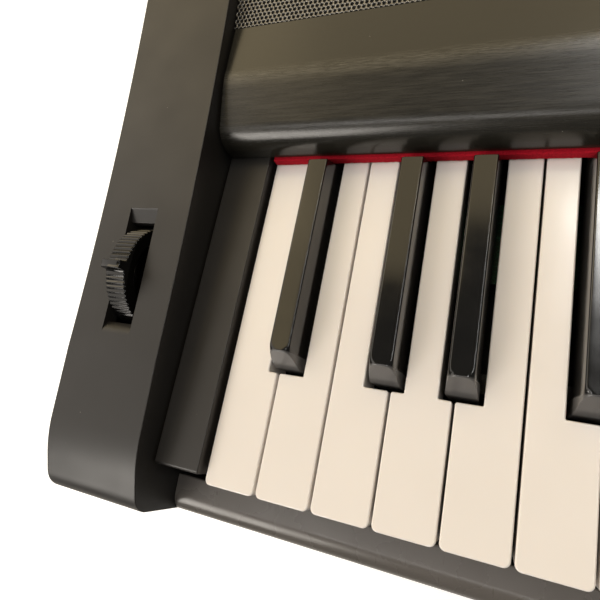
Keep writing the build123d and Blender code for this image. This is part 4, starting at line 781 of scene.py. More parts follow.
class PIANO_OT_stage(bpy.types.Operator):
    """Floor, soft lamps, plain surroundings and the camera over the bend wheel"""

    bl_idname = "piano.stage"
    bl_label = "Stage"

    def execute(self, context):
        settings = context.scene.piano_stage
        self.floor(settings)
        self.world(settings)
        wall = (0.0, 0.5, 0.866)
        olive = (1.0, 0.80, 0.46)
        high = settings.corner
        even = settings.wall
        # brightness and tint; direction from the bass corner, distance, size and shift in metres
        lamp = self.lamp
        lamp("window", settings.window, (1.0, 0.94, 0.86), (-0.49, -0.74, 0.46), 2.0, (1.0, 0.85))
        lamp("side", settings.side, (1.0, 0.92, 0.82), (-0.78, 0.0, 0.62), 2.0, (2.0, 1.3))
        lamp("ceiling", settings.ceiling, (1.0, 0.96, 0.92), (-0.12, -0.45, 0.88), 2.0, (1.5, 0.16))
        lamp("tube", settings.tube, (1.0, 0.98, 0.95), (0.30, 0.12, 0.94), 1.9, (1.6, 0.10))
        lamp("corner", high, olive, wall, 2.2, (1.64, 2.65), (-1.78, -0.98))
        lamp("corner_low", high * 0.8, olive, wall, 2.2, (0.44, 0.95), (-1.18, 0.82))
        lamp("wall_left", even, olive, wall, 2.2, (0.71, 2.1), (-0.605, -0.55))
        lamp("wall_right", even, olive, wall, 2.2, (0.59, 1.8), (0.045, -0.70))
        lamp("far_wall", even * 1.5, olive, wall, 2.2, (1.26, 1.8), (0.97, -0.70))
        self.camera(context, settings)
        context.scene.view_settings.view_transform = "Standard"
        return {"FINISHED"}

    def floor(self, settings):
        """A pale sheet that the view sees brighter, the more so away from the piano."""
        far = FLOOR_REACH
        corners = [(-far, -far, 0.0), (far, -far, 0.0), (far, far, 0.0), (-far, far, 0.0)]
        floor = mesh_object("floor", (corners, [(0, 1, 2, 3)]), Matrix())
        make = Finish("pale floor")
        make.set(Base_Color=tuple(settings.floor), Roughness=0.8)
        reach = make.node("ShaderNodeVectorMath", {0: make.place}, operation="LENGTH")
        away = make.ramp(reach.outputs["Value"], 1.0, 4.5, settings.floor_glow, 1.0)
        path = make.node("ShaderNodeLightPath")
        glow = make.math("MULTIPLY", path.outputs["Is Camera Ray"], away)
        make.set(Emission_Color=(1.0, 1.0, 1.0), Emission_Strength=glow)
        floor.data.materials.append(make.material)

    def world(self, settings):
        """Faint even light, behind a white that only the view sees."""
        world = bpy.data.worlds.new("air")
        bpy.context.scene.world = world
        world.use_nodes = True
        tree = world.node_tree
        air = tree.nodes["Background"]
        air.inputs["Color"].default_value = (1.0, 0.97, 0.93, 1.0)
        air.inputs["Strength"].default_value = settings.air
        white = tree.nodes.new("ShaderNodeBackground")
        white.inputs["Strength"].default_value = 1.0
        white.inputs["Color"].default_value = (1.0, 1.0, 1.0, 1.0)
        path = tree.nodes.new("ShaderNodeLightPath")
        mix = tree.nodes.new("ShaderNodeMixShader")
        tree.links.new(path.outputs["Is Camera Ray"], mix.inputs[0])
        tree.links.new(air.outputs[0], mix.inputs[1])
        tree.links.new(white.outputs[0], mix.inputs[2])
        tree.links.new(mix.outputs[0], tree.nodes["World Output"].inputs["Surface"])

    def lamp(self, name, brightness, tint, way, far, size, shift=(0.0, 0.0)):
        """A flat lamp that faces the bass corner, moved sideways in its own plane by a shift."""
        data = bpy.data.lights.new(name, "AREA")
        data.shape = "RECTANGLE"
        data.size, data.size_y = size
        data.energy = brightness * pi * size[0] * size[1]
        data.color = tint
        lamp = bpy.data.objects.new(name, data)
        way = Vector(way).normalized()
        turn = (-way).to_track_quat("-Z", "Y").to_matrix()
        right = -1.0 if turn.col[0].x < 0 else 1.0
        move = turn @ Vector((right * shift[0], shift[1], 0.0))
        lamp.matrix_world = Matrix.Translation(BASS_CORNER + way * far + move) @ turn.to_4x4()
        bpy.context.scene.collection.objects.link(lamp)

    def camera(self, context, settings):
        """Over the keys of the bass end, placed in the keyboard's frame."""
        data = bpy.data.cameras.new("camera")
        data.lens = settings.lens
        data.sensor_width = 36.0
        data.clip_start = 0.01
        camera = bpy.data.objects.new("camera", data)
        right = Vector((0.91585, 0.19255, -0.35235))
        up = Vector((-0.08792, 0.95239, 0.29193))
        forward = Vector((-0.39178, 0.23638, -0.88917))
        place = KEYS @ Vector((108.627, 32.619, 186.186))
        turn = Matrix((right, up, -forward)).transposed().to_4x4()
        camera.matrix_world = Matrix.Translation(place) @ turn
        context.scene.collection.objects.link(camera)
        context.scene.camera = camera


# ---- keys -----------------------------------------------------------------------------------
LETTERS = "ABCDEFG"
# each black key's place beside the joint of its white keys, in shares of a white key's pitch
SHARP_SHIFT = {"C": -0.1, "D": 0.1, "F": -0.143, "G": 0.0, "A": 0.143}
GROUP_LAST_OCTAVE = (("octave_1", 1), ("octaves_2_3", 3), ("octaves_4_5", 5), ("octaves_6_7", 8))
KEY_REAR = PIVOT[0] + 14.0
HUB_FRONT = KEY_REAR - 24.0  # where the solid rear end round the pivot begins
KEY_ROOF = -2.5  # underside of a key's top wall
POST_Y = (121.5, 128.5)  # the post that works the key's contact
POST_HALF = 3.5


def letter(index):
    return LETTERS[index % 7]


def octave(index):
    return (index + 5) // 7


def sharp_x(index):
    """Middle of the black key after a white one, or None where there is none."""
    if not 0 <= index < WHITE_COUNT - 1 or letter(index) not in SHARP_SHIFT:
        return None
    return (index + 1 + SHARP_SHIFT[letter(index)]) * WHITE_PITCH


def notches(index, sizes):
    """How far the black keys cut into a white key from its left and from its right."""
    left_edge = index * WHITE_PITCH + KEY_GAP / 2
    right_edge = left_edge + WHITE_PITCH - KEY_GAP
    left = sharp_x(index - 1)
    right = sharp_x(index)
    left_cut = 0.0 if left is None else left + sizes.notch / 2 - left_edge
    right_cut = 0.0 if right is None else right_edge - right + sizes.notch / 2
    return round(left_cut, 2), round(right_cut, 2)


def taken(obj):
    """Reads a piece's mesh back as a shape and removes the piece."""
    points = [tuple(v.co) for v in obj.data.vertices]
    faces = [tuple(p.vertices) for p in obj.data.polygons]
    bpy.data.objects.remove(obj)
    return points, faces


def lever(solid, rooms, left, right, low):
    """A key hollowed from below and bored for the pivot rod, with its post in the middle.

    Left and right each hold where the bore ends and where the key's side stands.
    """
    body = mesh_object("key", solid, Matrix())
    bore = plate(circle(2.05, 20, *PIVOT), left[0], right[0], axis=sideways)
    carve(body, [*rooms, bore], Matrix())
    middle = (left[1] + right[1]) / 2
    post = box(middle - POST_HALF, middle + POST_HALF, *POST_Y, low, KEY_ROOF + 0.2)
    return joined(taken(body), post)


def white_key_shape(left_cut, right_cut, sizes):
    """One white key with its left edge at x = 0."""
    width = WHITE_PITCH - KEY_GAP
    head = sizes.head
    tail_right = width - right_cut
    outer, inner = 0.9, 0.5  # radii of a notch's corners
    corners = [(0.0, 0.0, sizes.corner), (width, 0.0, sizes.corner)]
    if right_cut:
        corners += [(width, head, outer), (tail_right, head, inner)]
    corners += [(tail_right, KEY_REAR, inner), (left_cut, KEY_REAR, inner)]
    if left_cut:
        corners += [(left_cut, head, inner), (0.0, head, outer)]
    solid = plate(rounded(corners, 5), -sizes.height, 0.0, 0.3, sizes.edge, steps=4)
    wall = sizes.wall
    depth = (-sizes.height - 1.0, KEY_ROOF)
    rooms = (
        box(wall, width - wall, wall, head - wall, *depth),
        box(left_cut + wall, tail_right - wall, head - 2 * wall, HUB_FRONT, *depth),
    )
    return lever(solid, rooms, (-1.0, left_cut), (width + 1.0, tail_right), -sizes.height)


# behind a black key's shield: distance back from it, and the radius of the crown's edges
BLACK_ARCH = (
    (0.9, 2.9), (1.3, 2.35), (1.7, 1.85), (2.2, 1.4), (2.8, 1.05), (4.0, 0.85), (9.0, 0.8)
)


def black_key_shape(sizes):
    """One black key with its middle at x = 0: a raked shield in front and a bevelled rear."""
    front = sizes.head + 2.2
    low = -sizes.height
    top = sizes.black_height
    foot = sizes.black_width / 2
    crown = sizes.black_top / 2
    lean = 5.3
    rear_lean = 3.5
    rear_foot = front + 95.0

    def half(w):
        return foot + (crown - foot) * max(w, 0.0) / top

    def section(height, radius):
        """Anticlockwise in x and z, from the right foot over the crown to the left foot."""
        start = max(height - radius, 0.0)
        middle = half(height - radius * 0.3) - radius
        loop = [(foot, low), (foot, 0.0)] + [(half(start * t), start * t) for t in (0.4, 0.8)]
        loop += [(middle + radius * c, height - radius + radius * s) for c, s in arc(9)]
        loop += [(middle * (1 - t / 4), height) for t in range(1, 5)]
        return [Vector(p) for p in loop + [(-u, w) for u, w in loop[-2::-1]]]

    def shield(w):
        return front + lean * max(w, 0.0) / top

    def rear_face(w):
        return rear_foot - rear_lean * max(w, 0.0) / top

    # the shield's rolled edge, wider round the crown than at the foot
    outline = section(top, 3.3)
    roll = [
        0.12 + 0.24 * min(1.0, max(0.0, (p.y - 7.0) / 3.0)) if p.y > 0.1 else 0.0 for p in outline
    ]
    rings = []
    for c, s in arc(4):
        loop = inset(outline, [r * (1 - s) for r in roll])
        rings.append([(p.x, shield(p.y) + r * (1 - c), p.y) for p, r in zip(loop, roll)])
    # behind it, the crown's edge radius shrinks from the arch to the straight length
    for back, radius in BLACK_ARCH:
        rings.append([(p.x, shield(p.y) + back, p.y) for p in section(top, radius)])
    outline = section(top, BLACK_ARCH[-1][1])
    for y in (90.0, 125.0):
        rings.append([(p.x, y, p.y) for p in outline])
    for back, amount in ((0.7, 0.0), (0.25, 0.05), (0.07, 0.15), (0.0, 0.35)):
        loop = inset(outline, [amount * (q.y > 1.0) for q in outline])
        rings.append([(p.x, rear_face(q.y) - back, p.y) for p, q in zip(loop, outline)])
    for y in (rear_foot, KEY_REAR):
        rings.append([(p.x, y, p.y) for p in section(0.3, 0.2)])
    points, faces = skin(rings)
    # the front end as two flat faces: the leaning shield and the upright foot below it
    last = len(rings[0]) - 1
    faces = [f for f in faces if f != tuple(range(last + 1))[::-1]]
    faces += [tuple(range(1, last))[::-1], (last, last - 1, 1, 0)]
    wall = sizes.wall
    room = box(-foot + wall, foot - wall, front + wall + 2.0, HUB_FRONT, low - 1.0, KEY_ROOF)
    return lever((points, faces), [room], (-foot - 1.0, -foot), (foot + 1.0, foot), low)


def dress_keys(shapes, single, group, material, angle=CREASE):
    """Dresses keys, given by their place in the row, one by one or with all of their node."""
    nodes = {}
    for index, shape in shapes.items():
        node = single.format(letter(index).lower(), octave(index))
        if node not in frame["nodes"]:
            part = next(name for name, last in GROUP_LAST_OCTAVE if octave(index) <= last)
            node = f"{group}_{part}"
        nodes.setdefault(node, []).append(shape)
    for node, parts in nodes.items():
        dress(node, joined(*parts), material, angle=angle)


class PIANO_OT_white_keys(bpy.types.Operator):
    """White keys with rounded rims, notches for the black keys and hollow undersides"""

    bl_idname = "piano.white_keys"
    bl_label = "White keys"

    def execute(self, context):
        sizes = context.scene.piano_keys
        material = key_white("polished white key", context.scene.piano_finishes.white_key)
        made = {}
        shapes = {}
        for index in range(WHITE_COUNT):
            cuts = notches(index, sizes)
            if cuts not in made:
                made[cuts] = white_key_shape(*cuts, sizes)
            left = index * WHITE_PITCH + KEY_GAP / 2
            shapes[index] = moved(made[cuts], Matrix.Translation((left, 0.0, 0.0)))
        dress_keys(shapes, "key_{}{}", "white_keys", material)
        return {"FINISHED"}


class PIANO_OT_black_keys(bpy.types.Operator):
    """Black keys with raked, arched fronts and slim crowns"""

    bl_idname = "piano.black_keys"
    bl_label = "Black keys"

    def execute(self, context):
        sizes = context.scene.piano_keys
        material = key_black("silk black key", context.scene.piano_finishes.black_key)
        one = black_key_shape(sizes)
        shapes = {}
        for index in range(WHITE_COUNT):
            x = sharp_x(index)
            if x is not None:
                shapes[index] = moved(one, Matrix.Translation((x, 0.0, 0.0)))
        dress_keys(shapes, "key_{}_sharp{}", "black_keys", material, angle=28.0)
        return {"FINISHED"}


# ---- cheeks and casing ----------------------------------------------------------------------
SLOT_X = (-56.5, -40.8)  # the wheel's slot across the cheek
SLOT_Y = (52.4, 112.2)  # and from its front ramp to its rear one
WALLS_X = (-59.1, -38.2)  # outsides of the walls beside it
WHEEL_CENTRE = (84.3, 5.3)
CHEEK_TOP = 52.0
# the cheek's hollow-ground top runs between these, and sags by a quarter of HOLLOW halfway
BROW = (45.0, 20.0)
SHOULDER = (214.3, 36.3)
HOLLOW = 8.0


def cheek_height(y):
    """Height of the cheek's hollow-ground top between its brow and its shoulder."""
    t = (y - BROW[0]) / (SHOULDER[0] - BROW[0])
    return BROW[1] + (SHOULDER[1] - BROW[1]) * t - HOLLOW * t * (1 - t)


def cheek_outline():
    """The cheek from its side: hollow-ground top, crest, rear, flat bottom, nose and brow."""
    end_slope = (SHOULDER[1] - BROW[1] + HOLLOW) / (SHOULDER[0] - BROW[0])
    crest_y = SHOULDER[0] + (CHEEK_TOP - SHOULDER[1]) / end_slope
    hollow = [Vector((y, cheek_height(y))) for y in np.linspace(BROW[0], SHOULDER[0], 25)]
    rest = rounded(
        [
            (*SHOULDER, 0.0),
            (crest_y, CHEEK_TOP, 300.0),
            (REAR_Y, CHEEK_TOP, 14.0),
            (REAR_Y, SPLIT_Z, 0.0),
            (NOSE_Y, SPLIT_Z, 0.0),
            (NOSE_Y, 7.8, 11.0),
            (5.5, 16.6, 60.0),
            (*BROW, 0.0),
        ],
        10,
    )
    return anticlockwise([*hollow[:-1], *rest[:-1]])


def cheek_shape():
    """The left cheek's outer skin and the room inside it."""
    outline = cheek_outline()
    weights = [0.15 if p.y < SPLIT_Z + 0.1 else 1.0 for p in outline]
    outer = plate(outline, LEFT_X, WALL_X, 1.6, 0.45, sideways, 4, weights)
    room = inset(outline, 3.0)
    room = [Vector((p.x, SPLIT_Z - 2.0)) if p.y < SPLIT_Z + 4.0 else p for p in room]
    hollow = plate(room, LEFT_X + 3.0, WALL_X - 3.0, axis=sideways)
    return outer, hollow


def slot_cutter():
    """The wheel's opening with a straight ramp behind and a curved one in front."""
    front_y, rear_y = SLOT_Y
    low, high, lift = 8.0, 60.0, 0.02
    loop = []
    for k in range(15):
        t = k / 14
        y = front_y + 6.5 * t
        loop.append((y, cheek_height(y) - 3.2 * t**2.7 + lift))
    loop += [(59.1, low), (106.2, low), (106.2, 21.2), (106.6, 21.45), (111.6, 23.9)]
    loop += [(rear_y, cheek_height(rear_y) + lift), (rear_y, high), (front_y, high)]
    return plate([Vector(p) for p in loop], *SLOT_X, axis=sideways)


class PIANO_OT_casing(bpy.types.Operator):
    """Cheeks, lower case, rear cover, key blocks and front rail"""

    bl_idname = "piano.casing"
    bl_label = "Casing"

    def execute(self, context):
        tint = context.scene.piano_finishes.casing
        material = satin_plastic("satin casing", tint)
        self.cheeks(material)
        # the key blocks take the casing colour raised by a third: painted light, a lighter copy of
        # the same plastic
        self.blocks(satin_plastic("satin key block", shade(tint, 1.3), roughness=0.40))
        # the rail takes the casing colour raised sevenfold: a painted highlight that stands in for
        # the lamps' reflection on its nose and top
        self.rail(satin_plastic("satin rail", shade(tint, 7.0), roughness=0.27, grain=0.6))
        self.shell(material)
        return {"FINISHED"}

    def cheeks(self, material):
        """Both hollow cheeks, the left one with the wheel's slot."""
        outer, hollow = cheek_shape()
        left = mesh_object("cheek_left_cover", outer)
        carve(left, [hollow])
        # walls round the slot, filled up to the cheek's skin and then opened for the wheel
        filling = plate(inset(cheek_outline(), 1.0), *WALLS_X, axis=sideways)
        core = mesh_object("core", filling)
        combine(core, mesh_object("block", box(*WALLS_X, 49.8, 114.6, 13.6, 60.0)), "INTERSECT")
        combine(left, core, "UNION")
        room = plate(circle(25.2, 96, *WHEEL_CENTRE), *SLOT_X, axis=sideways)
        carve(left, [slot_cutter(), room])
        soften(left, 0.28, 50.0)
        settle(left)
        finish_cover(left, "cheek_left", material, 26.0)
        right = mesh_object("cheek_right_cover", mirrored(outer))
        carve(right, [mirrored(hollow)])
        finish_cover(right, "cheek_right", material, 26.0)

    def blocks(self, material):
        """The fillers beside the lowest and the highest key."""
        rear = 156.0
        outline = rounded(
            [(3.5, -28.0, 0.0), (rear, -28.0, 0.0), (rear, 4.5, 0.0), (3.5, 4.5, 1.5)], 5
        )
        left = plate(outline, -23.0, -1.2, 0.5, 0.5, sideways)
        dress("key_block_left", left, material)
        dress("key_block_right", mirrored(left), material)

    def rail(self, material):
        """The rounded nose under the keys' front edges and the apron below it."""
        outline = rounded(
            [
                (-1.2, -26.0, 0.0),
                (-1.2, -17.0, 0.8),
                (-12.5, -17.5, 9.0),
                (-17.0, -21.5, 6.0),
                (-17.0, -61.9, 0.0),
                (-14.6, -61.9, 0.0),
                (-14.6, -22.0, 4.0),
                (-11.5, -20.0, 6.0),
                (-3.6, -19.4, 0.4),
                (-3.6, -26.0, 0.0),
            ],
            8,
        )
        shape = plate(outline, WALL_X + 0.1, SPAN - WALL_X - 0.1, 0.35, 0.35, sideways, 4)
        dress("front_rail", shape, material, angle=40.0)

    def shell(self, material):
        """Lower case, rear cover, their screws and the sockets, all in the CAD's own shapes."""
        for node in ("lower_case", "rear_cover"):
            repaint(node, material)
            soften(frame["nodes"][node], 0.6, 30.0)
        repaint("case_screws", enamelled_steel("blackened screw", (0.05, 0.05, 0.052), 0.4))
        repaint("rear_jacks", plain_plastic("socket plastic", (0.02, 0.02, 0.021), 0.3, 0.6))


# ---- felt -----------------------------------------------------------------------------------
class PIANO_OT_felt(bpy.types.Operator):
    """Red felt strip with a fibrous, slightly wavy front"""

    bl_idname = "piano.felt"
    bl_label = "Felt strip"

    def execute(self, context):
        material = wool_felt("red wool felt", context.scene.piano_finishes.felt)
        rng = np.random.default_rng(7)
        xs = np.linspace(0.9, SPAN - 0.9, 1100)
        corners = [(148.0, 0.4, 0.5), (158.6, 0.4, 0.2), (158.6, 4.45, 0.2), (148.0, 4.45, 0.6)]
        outline = rounded(corners, 3)
        wave = np.convolve(rng.normal(0.0, 1.0, len(xs) + 24), np.ones(25) / 25, "valid")
        rings = []
        for k, x in enumerate(xs):
            ring = []
            for p in outline:
                front = p.x < 150.0
                fuzz = rng.normal(0.0, 0.035) if front else 0.0
                push = 0.25 * wave[k] if front else 0.0
                ring.append((x, max(p.x + push + fuzz, 147.9), p.y + fuzz * 0.5))
            rings.append(ring)
        dress("felt_strip", skin(rings), material, angle=60.0)
        return {"FINISHED"}


# ---- top panel ------------------------------------------------------------------------------
def panel_outline():
    """Lip, slope, deck and shelf of the panel, with its inner face."""
    return rounded(
        [
            (162.5, 4.5, 0.0),
            (149.5, 4.5, 0.6),
            (149.5, 18.5, 11.5),
            (177.5, 26.6, 45.0),
            (*DECK_START, 0.0),
            (*DECK_END, 45.0),
            (REAR_Y, SHELF_Z, 12.0),
            (REAR_Y, 30.0, 0.0),
            (REAR_Y - 2.5, 30.0, 0.0),
            (REAR_Y - 2.5, 47.1, 9.5),
            (DECK_END[0] - 0.2, DECK_END[1] - 2.55, 45.0),
            (205.8, 25.4, 0.0),
            (178.0, 24.1, 45.0),
            (152.0, 16.7, 9.0),
            (152.0, 7.0, 0.4),
            (162.5, 7.0, 0.0),
        ],
        10,
    )


def on_deck(shape):
    return moved(shape, DECK)


# places on the deck, from its middle; the buttons of one bank, mirrored for the other
BUTTON_PLACES = [(80.0 + 26.0 * i, 22.0 * (j - 0.5)) for i in range(4) for j in range(2)]
POWER_X = -285.0
KNOB_X = -225.0
DIAL_X = 225.0
TONGUE_PLACES = (-180.0, 180.0)
# sizes of what sits in its openings, and the play round it
CAP_SIZE = (15.0, 7.0)  # a button in a bank
POWER_RADIUS = 6.0
BUTTON_PLAY = 0.35
STEM_RADIUS = 3.0  # under the knob and the dial
PANE_SIZE = (112.0, 38.0)
TONGUE_HALF = (30.0, 2.5)
TONGUE_PLAY = 0.25
# where the music rest stands
REST_LEAN = radians(15.0)
REST_Y = 338.0
REST_Z = DECK_END[1] + (SHELF_Z - DECK_END[1]) * (REST_Y - DECK_END[0]) / (REAR_Y - DECK_END[0])
REST_FOOT = (MIDDLE, REST_Y, REST_Z + 1.3)  # the board's foot stands clear of the panel
REST = Matrix.Translation(REST_FOOT) @ Matrix.Rotation(-REST_LEAN, 4, "X")


class PIANO_OT_top_panel(bpy.types.Operator):
    """Panel with its rounded lip, grille seats, window, holes for controls and rest sockets"""

    bl_idname = "piano.top_panel"
    bl_label = "Top panel"

    def execute(self, context):
        material = grained_panel("grained panel", context.scene.piano_finishes.panel)
        ends = (MIDDLE - PANEL_HALF, MIDDLE + PANEL_HALF)
        panel = mesh_object("top_panel_cover", plate(panel_outline(), *ends, 1.1, 1.1, sideways, 4))
        deck = KEYS @ DECK
        middles = {0.0, POWER_X, KNOB_X, DIAL_X, *TONGUE_PLACES, -GRILLE_X, GRILLE_X}
        middles |= {side * u for side in (-1, 1) for u, _ in BUTTON_PLACES}
        score(panel, [(deck @ Vector((u, 0.0, 0.0)), (1.0, 0.0, 0.0)) for u in sorted(middles)])
        carve(panel, self.openings())
        soften(panel, 0.25, 50.0)
        settle(panel)
        finish_cover(panel, "top_panel", material, 16.0)
        self.trays()
        self.window()
        return {"FINISHED"}

    def openings(self):
        """The shapes cut from the panel: seats, windows, holes for controls and rest sockets."""
        width, depth = GRILLE_SIZE
        through = (-9.0, 6.0)
        cap_u, cap_v = (size / 2 + BUTTON_PLAY for size in CAP_SIZE)
        cutters = []
        for side in (-1, 1):
            x = side * GRILLE_X
            seat = rectangle(width + 0.4, depth + 0.8, 0.2, x - side * 0.2, GRILLE_Y)
            cutters.append(on_deck(plate(seat, -1.2, 6.0)))
            window = rectangle(width - 6.0, depth - 6.0, 1.5, x, GRILLE_Y)
            cutters.append(on_deck(plate(window, -6.0, 0.0)))
            holes = [
                box(side * u - cap_u, side * u + cap_u, v - cap_v, v + cap_v, *through)
                for u, v in BUTTON_PLACES
            ]
            cutters.append(on_deck(joined(*holes)))
        # the pane's seat, and the display's opening below it
        for wider, low, high in ((0.2, -2.2, 6.0), (-5.0, -9.0, 0.0)):
            u, v = (size / 2 + wider for size in PANE_SIZE)
            cutters.append(on_deck(box(-u, u, -v, v, low, high)))
        rounds = [plate(circle(POWER_RADIUS + BUTTON_PLAY, 40, POWER_X), *through)]
        rounds += [plate(circle(STEM_RADIUS + 0.05, 24, x), *through) for x in (KNOB_X, DIAL_X)]
        cutters.append(on_deck(joined(*rounds)))
        u, v = (half + TONGUE_PLAY for half in TONGUE_HALF)
        sockets = [box(x - u, x + u, -v, v, -16.0, 2.0) for x in TONGUE_PLACES]
        cutters.append(moved(joined(*sockets), REST))
        return cutters

    def trays(self):
        """The box under each grille, with the speaker's hole in its floor."""
        material = plain_plastic("dark baffle", (0.010, 0.010, 0.010), 0.6)
        width, depth = GRILLE_SIZE
        for side, name in ((-1, "left"), (1, "right")):
            x = side * GRILLE_X
            outer = rectangle(width, depth + 4.0, 1.0, x, GRILLE_Y)
            tray = mesh_object(f"baffle_{name}", on_deck(plate(outer, -8.0, -2.6)))
            room = rectangle(width - 6.0, depth - 6.0, 1.0, x, GRILLE_Y)
            hole = circle(31.0, 64, x, GRILLE_Y)
            carve(tray, [on_deck(plate(room, -5.0, 0.0)), on_deck(plate(hole, -9.0, 0.0))])
            finish_piece(tray, material, BODY)

    def window(self):
        material = smoked_window("smoked window", (0.012, 0.013, 0.015))
        pane = on_deck(plate(rectangle(*PANE_SIZE, 2.0), -2.0, 0.0, 0.2, 0.35))
        dress("display_window", pane, material)


# ---- grilles --------------------------------------------------------------------------------
def perforated(width, depth, sizes):
    """A sheet full of staggered round holes with rolled rims, cut off square at its edges."""
    pitch = sizes.pitch
    row = pitch * sin(radians(60.0))
    sides = sizes.sides
    hole = sizes.hole / 2
    rim = sizes.rim

    def angle(point):
        return atan2(point[1], point[0]) % (2 * pi)

    border = [(x * pitch / 2, y * row / 2) for x in (-1, 0, 1) for y in (-1, 1)]
    border.sort(key=angle)
    levels = (
        (hole + rim, 0.0),
        (hole + rim * 0.25, -rim * 0.5),
        (hole, -rim * 1.2),
        (hole, -sizes.sheet),
    )
    turns = [2 * pi * (k + 0.5) / sides for k in range(sides)]
    cell = [(x, y, 0.0) for x, y in border] + [(x, y, -sizes.sheet) for x, y in border]
    starts = []
    for r, z in levels:
        starts.append(len(cell))
        cell += [(r * cos(a), r * sin(a), z) for a in turns]
    faces = []

    def fan(outer, inner, flip):
        """Triangles between the border and a hole, by angle."""
        turn = [(angle(cell[i]), 0, i) for i in outer] + [(angle(cell[i]), 1, i) for i in inner]
        turn.sort()
        near = {0: outer[-1], 1: inner[-1]}
        for _, kind, index in turn:
            face = (near[kind], index, near[1 - kind]) if kind == 0 else (near[1], near[0], index)
            faces.append(face[::-1] if flip else face)
            near[kind] = index

    corners = len(border)
    fan(range(corners), range(starts[0], starts[0] + sides), False)
    fan(range(corners, 2 * corners), range(starts[-1], starts[-1] + sides), True)
    for a, b in zip(starts, starts[1:]):
        for k in range(sides):
            j = (k + 1) % sides
            faces.append((a + k, a + j, b + j, b + k))
    centres = [
        (pitch * (i - 0.5 * (j % 2)) - pitch * 0.55, row * (j - 0.12), 0.0)
        for j in range(int(depth / row) + 2)
        for i in range(int(width / pitch) + 3)
    ]
    points = (np.array(centres)[:, None, :] + np.array(cell)[None]).reshape(-1, 3)
    unique, index = np.unique(np.round(points, 4), axis=0, return_inverse=True)
    lookups = index.reshape(len(centres), len(cell)).tolist()
    return unique.tolist(), [tuple(lookup[i] for i in face) for lookup in lookups for face in faces]


class PIANO_OT_grilles(bpy.types.Operator):
    """Perforated steel sheets over the speakers"""

    bl_idname = "piano.grilles"
    bl_label = "Grilles"

    def execute(self, context):
        sizes = context.scene.piano_grille
        material = enamelled_steel("grille enamel", context.scene.piano_finishes.grille, 0.3, 0.7)
        width, depth = GRILLE_SIZE
        for side, name in ((-1, "left"), (1, "right")):
            half = width / 2
            for part, (u0, u1) in enumerate(((0.0, half), (half, width))):
                shape = perforated(u1 - u0, depth, sizes)
                sheet = mesh_object(f"grille_{name}_{'ab'[part]}", shape, Matrix())
                self.trim(sheet, u1 - u0, depth)
                corner = (side * GRILLE_X - half + u0, GRILLE_Y - depth / 2, -0.2)
                sheet.data.transform(KEYS @ (DECK @ Matrix.Translation(corner)))
                finish_cover(sheet, f"grille_{name}", material, 55.0)
        return {"FINISHED"}

    def trim(self, sheet, width, depth):
        """Cuts the sheet square and closes the cut holes."""
        near, far = (0, 0, 0), (width, depth, 0)
        planes = ((near, (-1, 0, 0)), (far, (1, 0, 0)), (near, (0, -1, 0)), (far, (0, 1, 0)))
        with editing(sheet.data) as bm:
            for point, normal in planes:
                geometry = bm.verts[:] + bm.edges[:] + bm.faces[:]
                cut = bmesh.ops.bisect_plane(
                    bm, geom=geometry, dist=1e-5, plane_co=point, plane_no=normal, clear_outer=True
                )
                edges = [e for e in cut["geom_cut"] if isinstance(e, bmesh.types.BMEdge)]
                bmesh.ops.edgenet_fill(bm, edges=edges)


# ---- bend wheel -----------------------------------------------------------------------------
WHEEL_TURN = radians(5.4)  # of the ridge from upright, at rest
WHEEL_GAP = 1.0  # beside the wheel in its slot


def wheel_reach(turn, sizes):
    """Radius of the wheel at an angle from its ridge, in degrees, positive to the rear."""
    turn = (turn + 180.0) % 360.0 - 180.0
    radius = sizes.radius
    ridge = sizes.ridge
    away = abs(turn)
    if away < 3.0:  # hollow crown
        return radius + ridge - 0.30 + 0.30 * (away / 3.0) ** 2
    if away < 3.9:  # rounded shoulder
        t = (away - 3.0) / 0.9
        return radius + ridge - 0.55 * (1 - (1 - t * t) ** 0.5)
    if away < 4.6:  # straight flank
        t = (away - 3.9) / 0.7
        return radius + ridge - 0.55 - (ridge - 1.45) * t
    foot = 6.6 if turn > 0 else 9.0
    if away < foot:  # sweep into the rim
        t = (away - 4.6) / (foot - 4.6)
        return radius + 0.9 * (1 - (1 - (1 - t) ** 2) ** 0.5)
    # grip ribs, which grow out of a plain stretch beside the ridge
    pitch = degrees(sizes.rib_pitch)
    start = 8.0 if turn > 0 else 10.5
    fade = max(0.0, min(1.0, (away - start) / 1.5))
    lobe = abs(cos(pi * (turn - 1.5) / pitch)) ** 1.25
    return radius - sizes.rib_depth * fade * (1 - lobe)


